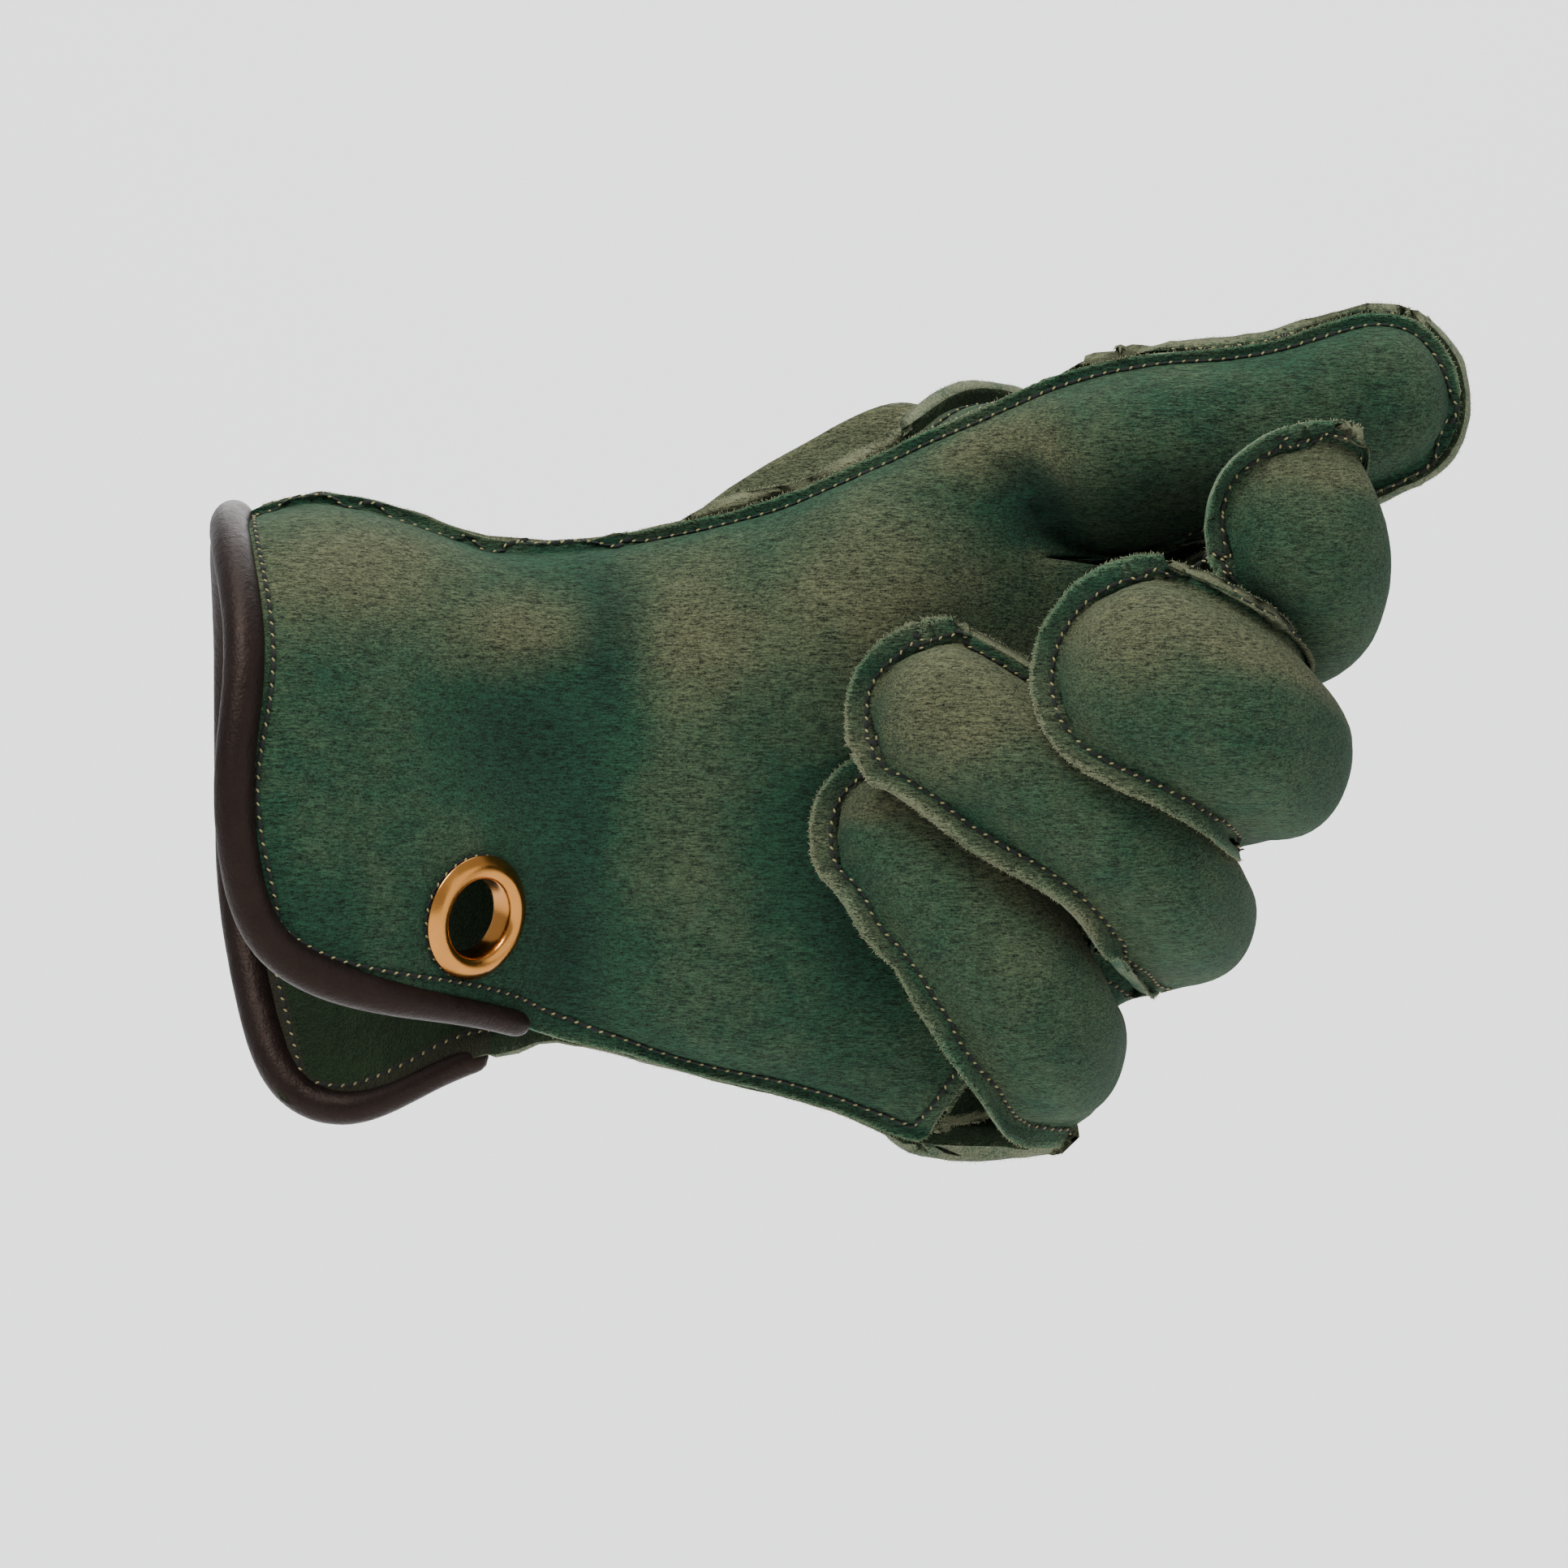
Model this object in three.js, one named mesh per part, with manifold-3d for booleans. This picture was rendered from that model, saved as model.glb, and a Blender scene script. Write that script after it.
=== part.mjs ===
// Left-hand falconry glove in green nubuck leather, closed on a fist.
// Millimetres. +X runs from the wrist opening to the fingers, +Z to the thumb
// side, and -Y faces the palm side. The origin is the middle of the wrist opening.
import * as THREE from 'three';
import { mergeVertices } from 'three/addons/utils/BufferGeometryUtils.js';
import Module from 'manifold-3d';

// Main sizes of the glove
const CUFF_LENGTH = 50; // cuff mouth to the end of the slit
const HAND_LENGTH = 100; // end of the slit to the knuckles
const HAND_WIDTH = 100; // across the palm, which scales all heights
const HAND_DEPTH = 50; // palm face to back of the hand, which scales all depths
const THUMB_LENGTH = 55; // root of the thumb to the middle of its round tip
const DIGIT_DEPTH = 24; // thickness of a gloved finger

// Leather and seams
const LEATHER = 1.5;
const SEAM_GAP = 0.3; // air between two layers in a seam
const SEAM_ALLOWANCE = 2.4; // leather outside the stitch line
const TRIM_GAP = 0.25; // air left where a piece is trimmed clear of another
const LAYER = (LEATHER + SEAM_GAP) / 2; // middle of a layer from the middle of its seam

// Rolled binding
const BINDING_DIAMETER = 6.4;
const BINDING_LEG = 2.6; // how far its legs reach onto the leather
const BINDING_CLEARANCE = 0.55;
const BINDING_LIP = 0.7; // thickness of the end of a leg
const BINDING_ARC = 5; // sides of its roll
const BINDING_STEPS = 40;
const BINDING_END = 0.94; // share of the flap's edge that the binding covers

// Brass eyelet in the near flap
const EYELET_HOLE = 12;
const EYELET_FLANGE = 20;
const EYELET_WALL = 0.6;
const EYELET_RISE = 1.9;
const WASHER_THICKNESS = 0.8;
const EYELET_CLEARANCE = 0.3;
const EYELET_ALONG = 0.73; // share of the cuff's length
const EYELET_UP = -0.21; // share of the hand's width
const EYELET_TURN = 42; // degrees that it faces towards the fingers
const EYELET_DIP = 12; // degrees that it faces down
const EYELET_FLAT = 0.62; // leather kept flat round it, as a share of its flange
const EYELET_BLEND = 0.35; // reach of the bend round that flat place, as a share of it
const EYELET_SIDES = 20;

// Roll of the eyelet from its edge to its hole: out is the share of the way from the
// hole to the flange's edge, up the share of its rise
const EYELET_ROLL = [
  { out: 0.95, up: 0 },
  { out: 1, up: 0.18 },
  { out: 0.75, up: 0.72 },
  { out: 0.5, up: 1 },
  { out: 0.17, up: 0.8 },
  { out: 0, up: 0.3 },
];
const WASHER_INSET = 1; // flange's edge to the washer's edge

// Columns of the leather grids
const DIGIT_COLUMNS = 8;
const PALM_COLUMNS = 12;
const CREASE_INSET = 0.06; // share of a finger's crease left clear on each side
const BACK_STEPS = [2, 1, 2, 1, 1, 1, 1, 2, 2, 1, 2]; // rows after each section of the back
const THUMB_SPLIT = 0.8; // share of the palm's width where the thumb leaves it
const TIP_ROWS = [0.35, 0.62, 0.84, 1]; // rows in a round tip, as shares of its reach
const DIGIT_SHARES = [-1, -0.78, -0.42, 0, 0.42, 0.78, 1]; // columns between its seams
const ROOT_SHARES = [-0.75, -0.5, -0.25, 0, 0.25, 0.5, 0.75]; // columns at the knuckles

// Roundness of the faces
const CLOSE_FROM = 0.6; // share of a face's width where it starts to close
const CLOSE_POWER = 2.5;
const DOME_POWER = 2.4;
const ROOT_DOME = 0.3; // how much a finger's root is domed, as a share of its depth
const COLUMN_EASE = 0.7; // how much closer the columns are near the seams
const MOUTH_FLAT = 0.6; // how flat the seam lies where the binding covers it
const FOLD_UNDER = 0.85; // seam allowance folded away at the thumb's lower root

// Sections of the palm panel from the cuff mouth to the finger creases.
// x0 to x3: place along the glove at the lower edge, two thirds and the upper
// edge. From `wrist` on, x counts from the end of the slit in hand lengths; before
// it, x counts from the mouth in cuff lengths. z0, z1: lower and upper edge in hand
// widths. y0, y1: depth of those edges and f0 to f3: depth of the face, in hand
// depths. shut: how far the lower edge curls in to its seam.
const PALM_SECTIONS = [
  { part: 'cuff', x0: 0.066, x1: -0.006, x2: 0.05, x3: -0.026, z0: -0.246, z1: 0.416,
    y0: -0.74, y1: -0.04, f0: -0.74, f1: -0.8, f2: -0.74, f3: -0.62, shut: 0 },
  { part: 'cuff', x0: 0.25, x1: 0.23, x2: 0.26, x3: 0.24, z0: -0.31, z1: 0.445,
    y0: -0.7, y1: -0.04, f0: -0.7, f1: -0.77, f2: -0.68, f3: -0.57, shut: 0 },
  { part: 'cuff', x0: 0.5, x1: 0.5, x2: 0.5, x3: 0.52, z0: -0.338, z1: 0.42,
    y0: -0.62, y1: -0.04, f0: -0.62, f1: -0.68, f2: -0.6, f3: -0.5, shut: 0 },
  { part: 'cuff', x0: 0.76, x1: 0.76, x2: 0.75, x3: 0.76, z0: -0.36, z1: 0.372,
    y0: -0.4, y1: -0.04, f0: -0.42, f1: -0.52, f2: -0.5, f3: -0.42, shut: 0.1 },
  { part: 'hand', x0: -0.006, x1: 0, x2: 0, x3: -0.01, z0: -0.4, z1: 0.365,
    y0: -0.16, y1: -0.04, f0: -0.3, f1: -0.42, f2: -0.44, f3: -0.38, shut: 0.8 },
  { part: 'hand', x0: 0.1, x1: 0.1, x2: 0.1, x3: 0.1, z0: -0.425, z1: 0.381,
    y0: -0.12, y1: -0.06, f0: -0.34, f1: -0.42, f2: -0.44, f3: -0.4, shut: 1 },
  { part: 'hand', x0: 0.225, x1: 0.22, x2: 0.22, x3: 0.215, z0: -0.463, z1: 0.402,
    y0: -0.1, y1: -0.08, f0: -0.36, f1: -0.44, f2: -0.5, f3: -0.44, shut: 1 },
  { part: 'hand', x0: 0.363, x1: 0.38, x2: 0.4, x3: 0.36, z0: -0.494, z1: 0.442,
    y0: -0.08, y1: -0.1, f0: -0.34, f1: -0.4, f2: -0.52, f3: -0.48, shut: 1 },
  { part: 'hand', x0: 0.465, x1: 0.53, x2: 0.57, x3: 0.51, z0: -0.53, z1: 0.512,
    y0: -0.06, y1: -0.14, f0: -0.3, f1: -0.32, f2: -0.46, f3: -0.5, shut: 1 },
  { part: 'hand', x0: 0.545, x1: 0.66, x2: 0.75, x3: 0.68, z0: -0.563, z1: 0.586,
    y0: -0.04, y1: -0.18, f0: -0.24, f1: -0.26, f2: -0.28, f3: -0.48, shut: 1 },
];

// The last section of the palm, hidden behind the fingers, where their fronts start
const CREASE = { x0: 0.57, x1: 0.79, x2: 0.9, x3: 0.9, z0: -0.56, z1: 0.34,
  y0: -0.02, y1: -0.16, f0: -0.16, f1: -0.1, f2: -0.08, f3: -0.12, shut: 1 };

// Sections of the back panel, from the cuff mouth to the knuckles, as above. lift:
// rise of the back over the upper seam in hand widths.
const BACK_SECTIONS = [
  { part: 'cuff', x0: 0.11, x1: -0.03, x2: -0.03, x3: -0.026, z0: -0.502, z1: 0.416,
    y0: 0.28, y1: -0.04, f0: 0.3, f1: 0.56, f2: 0.58, f3: 0.46, shut: 0, lift: 0 },
  { part: 'cuff', x0: 0.34, x1: 0.26, x2: 0.24, x3: 0.24, z0: -0.53, z1: 0.445,
    y0: 0.26, y1: -0.04, f0: 0.28, f1: 0.52, f2: 0.56, f3: 0.46, shut: 0, lift: 0 },
  { part: 'cuff', x0: 0.5, x1: 0.5, x2: 0.52, x3: 0.52, z0: -0.495, z1: 0.42,
    y0: 0.18, y1: -0.04, f0: 0.2, f1: 0.46, f2: 0.52, f3: 0.42, shut: 0, lift: 0.01 },
  { part: 'cuff', x0: 0.75, x1: 0.76, x2: 0.76, x3: 0.76, z0: -0.425, z1: 0.372,
    y0: 0.06, y1: -0.04, f0: 0.2, f1: 0.42, f2: 0.46, f3: 0.38, shut: 0.5, lift: 0.03 },
  { part: 'hand', x0: -0.006, x1: 0, x2: 0, x3: -0.01, z0: -0.4, z1: 0.365,
    y0: -0.16, y1: -0.04, f0: 0.24, f1: 0.4, f2: 0.44, f3: 0.36, shut: 1, lift: 0 },
  { part: 'hand', x0: 0.1, x1: 0.1, x2: 0.1, x3: 0.1, z0: -0.425, z1: 0.381,
    y0: -0.12, y1: -0.06, f0: 0.28, f1: 0.42, f2: 0.46, f3: 0.38, shut: 1, lift: 0 },
  { part: 'hand', x0: 0.225, x1: 0.22, x2: 0.22, x3: 0.215, z0: -0.463, z1: 0.402,
    y0: -0.1, y1: -0.08, f0: 0.3, f1: 0.46, f2: 0.5, f3: 0.4, shut: 1, lift: 0.05 },
  { part: 'hand', x0: 0.363, x1: 0.37, x2: 0.38, x3: 0.36, z0: -0.494, z1: 0.442,
    y0: -0.08, y1: -0.1, f0: 0.3, f1: 0.48, f2: 0.52, f3: 0.4, shut: 1, lift: 0.09 },
  { part: 'hand', x0: 0.465, x1: 0.5, x2: 0.52, x3: 0.51, z0: -0.53, z1: 0.512,
    y0: -0.06, y1: -0.14, f0: 0.28, f1: 0.48, f2: 0.54, f3: 0.4, shut: 1, lift: 0.1 },
  { part: 'hand', x0: 0.545, x1: 0.64, x2: 0.68, x3: 0.64, z0: -0.563, z1: 0.61,
    y0: -0.04, y1: 0.1, f0: 0.26, f1: 0.48, f2: 0.54, f3: 0.44, shut: 1, lift: 0.02 },
  { part: 'hand', x0: 0.68, x1: 0.79, x2: 0.83, x3: 0.78, z0: -0.57, z1: 0.57,
    y0: 0, y1: 0.28, f0: 0.24, f1: 0.5, f2: 0.52, f3: 0.46, shut: 1, lift: 0 },
];

// Where the thumb's back closes the web under the thumb, from the crotch of the
// thumb to the index finger: x in hand lengths, y in hand depths, z in widths
const WEB = [
  { x: 0.78, y: -0.14, z: 0.345 },
  { x: 0.9, y: -0.08, z: 0.345 },
  { x: 0.985, y: 0.06, z: 0.385 },
];

// Dents and swells of the palm face. x in hand lengths from the mouth's plane, z in
// hand widths, rx and rz their reach, deep their depth in hand depths.
const DENTS = [
  { name: 'wrist_groove', x: 0.56, z: 0.0, rx: 0.055, rz: 0.34, deep: 0.04 },
  { name: 'cuff_dent', x: 0.44, z: 0.05, rx: 0.07, rz: 0.08, deep: 0.06 },
  { name: 'slit_dent', x: 0.505, z: -0.27, rx: 0.055, rz: 0.11, deep: 0.07 },
  { name: 'cuff_swell', x: 0.45, z: 0.25, rx: 0.1, rz: 0.08, deep: -0.06 },
  { name: 'wrist_ridge', x: 0.59, z: -0.09, rx: 0.05, rz: 0.1, deep: -0.04 },
  { name: 'thumb_swell', x: 1.02, z: 0.36, rx: 0.2, rz: 0.14, deep: -0.06 },
  { name: 'thumb_fold', x: 1.22, z: 0.4, rx: 0.05, rz: 0.09, deep: 0.12 },
  { name: 'palm_hollow', x: 0.99, z: -0.07, rx: 0.12, rz: 0.15, deep: 0.11 },
];

// The digits, each as stations of its middle line: x from the end of the slit in
// hand lengths, y in hand depths, z in hand widths, wide its half width in hand
// widths, back and front its two half depths in digit depths, seam the share of the
// seam allowance. across: the direction across it at the root and at the tip.
// tip_length: reach of its round tip in hand widths.
const FINGERS = {
  little: {
    stations: [
      { x: 0.74, y: 0.06, z: -0.41, wide: 0.118, back: 0.46, front: 0.3, seam: 0.4 },
      { x: 0.745, y: -0.18, z: -0.41, wide: 0.118, back: 0.46, front: 0.26, seam: 0.8 },
      { x: 0.735, y: -0.4, z: -0.36, wide: 0.122, back: 0.44, front: 0.16, seam: 1 },
      { x: 0.665, y: -0.5, z: -0.255, wide: 0.118, back: 0.42, front: 0.16, seam: 1 },
      { x: 0.53, y: -0.48, z: -0.09, wide: 0.102, back: 0.36, front: 0.16, seam: 1 },
    ],
    across: [[0.29, 0, 0.96], [0.73, 0.24, 0.68]], tip_length: 0.1, droop: 0.04,
  },
  ring: {
    stations: [
      { x: 0.9, y: 0.08, z: -0.2, wide: 0.115, back: 0.52, front: 0.3, seam: 0.3 },
      { x: 0.945, y: -0.24, z: -0.2, wide: 0.108, back: 0.5, front: 0.26, seam: 0.5 },
      { x: 0.905, y: -0.58, z: -0.145, wide: 0.112, back: 0.5, front: 0.18, seam: 1 },
      { x: 0.83, y: -0.73, z: -0.06, wide: 0.104, back: 0.42, front: 0.16, seam: 1 },
      { x: 0.59, y: -0.71, z: 0.094, wide: 0.106, back: 0.36, front: 0.16, seam: 1 },
    ],
    across: [[0.33, 0, 0.94], [0.469, 0.14, 0.883]], tip_length: 0.105, droop: 0.06,
  },
  middle: {
    stations: [
      { x: 0.98, y: 0.08, z: 0.025, wide: 0.115, back: 0.52, front: 0.3, seam: 0.3 },
      { x: 1.06, y: -0.28, z: 0.02, wide: 0.11, back: 0.52, front: 0.26, seam: 0.4 },
      { x: 1.08, y: -0.72, z: 0.048, wide: 0.129, back: 0.52, front: 0.2, seam: 0.9 },
      { x: 1.02, y: -0.94, z: 0.105, wide: 0.13, back: 0.46, front: 0.24, seam: 1 },
      { x: 0.9, y: -0.93, z: 0.16, wide: 0.136, back: 0.4, front: 0.24, seam: 1 },
    ],
    across: [[0.29, 0, 0.96], [0.469, 0.12, 0.883]], tip_length: 0.13, droop: 0.06,
  },
  index: {
    stations: [
      { x: 1, y: 0.08, z: 0.25, wide: 0.115, back: 0.52, front: 0.3, seam: 0.3 },
      { x: 1.1, y: -0.22, z: 0.242, wide: 0.104, back: 0.52, front: 0.26, seam: 0.4 },
      { x: 1.15, y: -0.58, z: 0.294, wide: 0.118, back: 0.47, front: 0.22, seam: 0.9 },
      { x: 1.155, y: -0.76, z: 0.365, wide: 0.126, back: 0.4, front: 0.22, seam: 1 },
      { x: 1.145, y: -0.79, z: 0.385, wide: 0.128, back: 0.38, front: 0.22, seam: 1 },
    ],
    across: [[0.2, 0, 0.98], [0.5, -0.1, 0.866]], tip_length: 0.11, droop: 0.14,
  },
};

// The thumb's stations, x in thumb lengths from its root
const THUMB_ROOT = 0.71; // in hand lengths from the end of the slit
const THUMB_STATIONS = [
  { x: 0.2, y: -0.18, z: 0.478, wide: 0.135, back: 0.56, front: 0.6, seam: 1 },
  { x: 0.45, y: -0.17, z: 0.512, wide: 0.128, back: 0.54, front: 0.52, seam: 1 },
  { x: 0.72, y: -0.16, z: 0.53, wide: 0.12, back: 0.5, front: 0.46, seam: 1 },
  { x: 1, y: -0.14, z: 0.588, wide: 0.112, back: 0.44, front: 0.42, seam: 1 },
];
const THUMB_ACROSS = [[-0.2, 0, 0.98], [-0.3, 0, 0.95]];
const THUMB_TIP = 0.11;
const THUMB_SEAM_BACK = 0.3; // how far the lower seam of the thumb runs behind, in digit depths

const FINGER_NAMES = ['little', 'ring', 'middle', 'index'];
const point = (x, y, z) => new THREE.Vector3(x, y, z);
const mix = (a, b, t) => a + (b - a) * t;
const clamp01 = (t) => Math.min(1, Math.max(0, t));
const smooth = (t) => clamp01(t) ** 2 * (3 - 2 * clamp01(t));

// Smooth value through evenly spaced values, t from 0 to 1
function through(values, t) {
  const curve = new THREE.CatmullRomCurve3(values.map((v, i) => point(i, v, 0)));
  curve.curveType = 'catmullrom';
  return curve.getPoint(t).y;
}

// Smooth point through evenly spaced points, t from 0 to 1
function along(points, t) {
  return new THREE.CatmullRomCurve3(points, false, 'catmullrom', 0.5).getPoint(t);
}

// Place along the glove of a table's x
function placeX(part, x) {
  return part === 'cuff' ? x * CUFF_LENGTH : CUFF_LENGTH + x * HAND_LENGTH;
}

// Rounded closing of a face towards its seam: 0 on the face, 1 at the seam
function closing(v) {
  const t = clamp01((v - CLOSE_FROM) / (1 - CLOSE_FROM));
  return 1 - Math.sqrt(1 - t ** CLOSE_POWER);
}

// Rise of a back section over its upper seam, at a share v across
function swell(lift, v, height) {
  const crest = smooth((v - 0.5) / 0.4) * (1 - smooth((v - 0.9) / 0.1));
  return crest * (lift * HAND_WIDTH + height * (1 - v) * Math.min(1, lift / 0.05));
}

// One section of a panel: a point for each share v across, on the layer's middle.
// side is -1 for the palm and 1 for the back.
function sectionRow(s, side, shares, flat) {
  const bottom = s.z0 * HAND_WIDTH + SEAM_ALLOWANCE;
  const top = s.z1 * HAND_WIDTH - SEAM_ALLOWANCE;
  const row = shares.map((v) => {
    const x = placeX(s.part, through([s.x0, s.x1, s.x2, s.x3], v));
    const face = through([s.f0, s.f1, s.f2, s.f3], v) * HAND_DEPTH;
    const lowSeam = s.y0 * HAND_DEPTH + side * LAYER * s.shut;
    const highSeam = s.y1 * HAND_DEPTH + side * LAYER;
    let y = mix(face, lowSeam, closing(1 - v) * Math.max(s.shut, 0));
    y = mix(y, highSeam, closing(v));
    return point(x, y, mix(bottom, top, v) + swell(s.lift ?? 0, v, top - bottom));
  });
  const first = row[0].clone();
  const last = row[row.length - 1].clone();
  first.z -= SEAM_ALLOWANCE;
  if (flat) {
    last.y -= side * LAYER * flat;
    last.z += SEAM_ALLOWANCE * (1 - flat);
  } else {
    last.z += SEAM_ALLOWANCE;
  }
  return [first, ...row, last];
}

// Dents and swells pushed into a palm row
function dent(row) {
  for (const p of row) {
    for (const d of DENTS) {
      const dx = (p.x - d.x * HAND_LENGTH) / (d.rx * HAND_LENGTH);
      const dz = (p.z - d.z * HAND_WIDTH) / (d.rz * HAND_WIDTH);
      p.y += d.deep * HAND_DEPTH * Math.exp(-(dx * dx + dz * dz) / 2);
    }
  }
  return row;
}

// Shares across a face, closer together near its edges
function easedShares(count, from, to, easeLow, easeHigh) {
  return Array.from({ length: count + 1 }, (_, k) => {
    const t = k / count;
    const low = easeLow ? 1 - Math.cos((Math.PI / 2) * t) : t;
    const high = easeHigh ? Math.sin((Math.PI / 2) * t) : t;
    const both = (1 - Math.cos(Math.PI * t)) / 2;
    const eased = easeLow && easeHigh ? both : easeLow ? low : easeHigh ? high : t;
    return mix(from, to, mix(t, eased, COLUMN_EASE));
  });
}

// Places of the rows between control rows: steps holds the intervals after each one
function places(steps) {
  const list = steps.flatMap((count, i) => Array.from({ length: count }, (_, k) => i + k / count));
  return [...list, steps.length];
}

// Rows of points through every control row, with the steps between them
function flow(rows, steps) {
  const columns = rows[0].map((_, j) => rows.map((row) => row[j]));
  const spans = rows.length - 1;
  return places(steps.slice(0, spans)).map((at) => columns.map((c) => along(c, at / spans)));
}

// Two steps after each of the first rows, and one after the others
const finer = (first, total) => Array.from({ length: total }, (_, i) => (i < first ? 2 : 1));

// Rows of one half of a digit. side 1 is its back (the knuckle side), -1 its front.
// shed: how far behind the lower seam runs at the root.
function digitRows(digit, side, { open = 0, shed = 0, narrow = 0 } = {}) {
  const { stations, across } = digit;
  const middles = stations.map((s) => s.at);
  const last = stations.length - 1;
  const rows = [];
  stations.forEach((s, i) => {
    const t = i / last;
    const ahead = middles[Math.min(i + 1, last)].clone().sub(middles[Math.max(i - 1, 0)]);
    const frame = digitFrame(ahead, across, t);
    rows.push(digitRow(s, frame, side, i, { open, shed: shed * (1 - t), tip: 0, narrow }));
  });
  const end = stations[last];
  const frame = digitFrame(middles[last].clone().sub(middles[last - 1]), across, 1);
  for (const tip of TIP_ROWS) {
    rows.push(digitRow(end, frame, side, last, { open, shed: 0, tip, digit }));
  }
  rows.push(digitRow(end, frame, side, last, { open, shed: 0, tip: 2, digit }));
  return rows;
}

// Directions at a station: along the digit, across it and out of its back
function digitFrame(ahead, across, t) {
  const wide = point(...across[0]).lerp(point(...across[1]), smooth(t)).normalize();
  const run = ahead.clone().addScaledVector(wide, -ahead.dot(wide)).normalize();
  return { run, wide, out: new THREE.Vector3().crossVectors(wide, run) };
}

// One row of a digit half, with the seam allowance as its first and last point.
// tip from 0 to 1 goes into the round tip, and 2 is the allowance round it.
function digitRow(s, frame, side, station, { open, shed, tip, digit, narrow }) {
  const inset = side < 0 && !shed && station === 0 && narrow ? narrow : 0;
  const half = s.wide * HAND_WIDTH - inset;
  const depth = (side > 0 ? s.back : s.front) * DIGIT_DEPTH;
  const reach = digit ? digit.tip_length * HAND_WIDTH : 0;
  const droop = digit ? digit.droop * HAND_DEPTH : 0;
  const allowance = SEAM_ALLOWANCE * s.seam;
  const lowAllowance = allowance * (1 - FOLD_UNDER * clamp01(shed / THUMB_SEAM_BACK));
  const opened = station === 0 ? open : 0;
  const place = (a, c, extra) => {
    const r = Math.min(1, Math.hypot(a, c));
    const dome = mix(Math.sqrt(1 - r ** DOME_POWER), 1 - ROOT_DOME * c * c, opened);
    const n = new THREE.Vector2(a / Math.max(reach, 1), c / half).normalize();
    const p = s.at.clone();
    p.addScaledVector(frame.run, a * reach + n.x * extra);
    p.addScaledVector(frame.wide, c * half + n.y * extra);
    p.addScaledVector(frame.out, side * (LAYER + depth * dome) - droop * a * a);
    p.y += shed * DIGIT_DEPTH * smooth(-c);
    return p;
  };
  const q = Math.min(tip, 1);
  const flat = tip === 2;
  const shares = opened ? ROOT_SHARES : DIGIT_SHARES;
  const inner = shares.map((v) => {
    const a = q * Math.sqrt(1 - (v * v) / 2);
    return place(a, v * Math.sqrt(1 - (q * q) / 2), flat ? allowance : 0);
  });
  if (opened) return [place(0, -1, 0), ...inner, place(0, 1, 0)];
  const turn = (angle, extra) => place(Math.cos(angle), Math.sin(angle), extra);
  const corner = Math.PI / 4;
  const ease = 0.1;
  if (flat) return [turn(-corner, allowance * 1.02), ...inner, turn(corner, allowance * 1.02)];
  if (tip === 1) return [turn(-corner - ease, allowance), ...inner, turn(corner + ease, allowance)];
  const side1 = Math.sqrt(1 - (q * q) / 2);
  const low = place(q * Math.SQRT1_2, -side1, lowAllowance);
  return [low, ...inner, place(q * Math.SQRT1_2, side1, allowance)];
}

// A sheet of leather collects quads on shared points, and gives them a thickness
class Sheet {
  constructor() {
    this.points = [];
    this.quads = [];
    this.keys = new Map();
  }

  index(p) {
    const key = [p.x, p.y, p.z].map((c) => Math.round(c * 1e3)).join(',');
    if (!this.keys.has(key)) {
      this.keys.set(key, this.points.length);
      this.points.push(p.clone());
    }
    return this.keys.get(key);
  }

  // Rows run along the piece and columns across it; turned swaps the outer face
  grid(rows, turned) {
    for (let i = 0; i + 1 < rows.length; i += 1) {
      for (let j = 0; j + 1 < rows[i].length; j += 1) {
        const quad = [rows[i][j], rows[i][j + 1], rows[i + 1][j + 1], rows[i + 1][j]];
        const ids = quad.map((p) => this.index(p));
        this.quads.push(turned ? ids.reverse() : ids);
      }
    }
  }

  normals() {
    const sums = this.points.map(() => point(0, 0, 0));
    for (const [a, b, c, d] of this.quads) {
      const first = this.points[c].clone().sub(this.points[a]);
      const second = this.points[d].clone().sub(this.points[b]);
      const n = first.cross(second);
      for (const id of [a, b, c, d]) sums[id].add(n);
    }
    return sums.map((n) => n.normalize());
  }

  // Edges that only one quad uses, in that quad's direction
  rim() {
    const edges = new Map();
    for (const quad of this.quads) {
      quad.forEach((p, k) => {
        const q = quad[(k + 1) % 4];
        if (!edges.delete(`${q},${p}`)) edges.set(`${p},${q}`, [p, q]);
      });
    }
    return [...edges.values()];
  }

  // Closed solid about the sheet; spread widens it past its rim
  thicken(thickness, spread = 0) {
    const normals = this.normals();
    const count = this.points.length;
    const rim = this.rim();
    const middle = this.points.map((p) => p.clone());
    if (spread) {
      const outward = this.points.map(() => point(0, 0, 0));
      for (const [p, q] of rim) {
        const run = this.points[q].clone().sub(this.points[p]).normalize();
        for (const id of [p, q]) outward[id].add(run.clone().cross(normals[id]));
      }
      middle.forEach((p, i) => p.addScaledVector(outward[i].normalize(), spread));
    }
    const half = thickness / 2;
    const face = (side) => middle.map((p, i) => p.clone().addScaledVector(normals[i], side * half));
    const all = [...face(1), ...face(-1)];
    const faces = [];
    const split = (a, b, c, d) => {
      if (all[a].distanceTo(all[c]) <= all[b].distanceTo(all[d])) faces.push([a, b, c], [a, c, d]);
      else faces.push([a, b, d], [b, c, d]);
    };
    for (const [a, b, c, d] of this.quads) {
      split(a, b, c, d);
      split(d + count, c + count, b + count, a + count);
    }
    for (const [p, q] of rim) split(q, p, p + count, q + count);
    return solidFrom(all, faces);
  }
}

// Geometry from points and triangles
function solidFrom(points, faces) {
  const geometry = new THREE.BufferGeometry();
  const flat = points.flatMap((p) => [p.x, p.y, p.z]);
  geometry.setAttribute('position', new THREE.Float32BufferAttribute(flat, 3));
  geometry.setIndex(faces.flat());
  return geometry;
}

const wasm = await Module();
wasm.setup();

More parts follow.
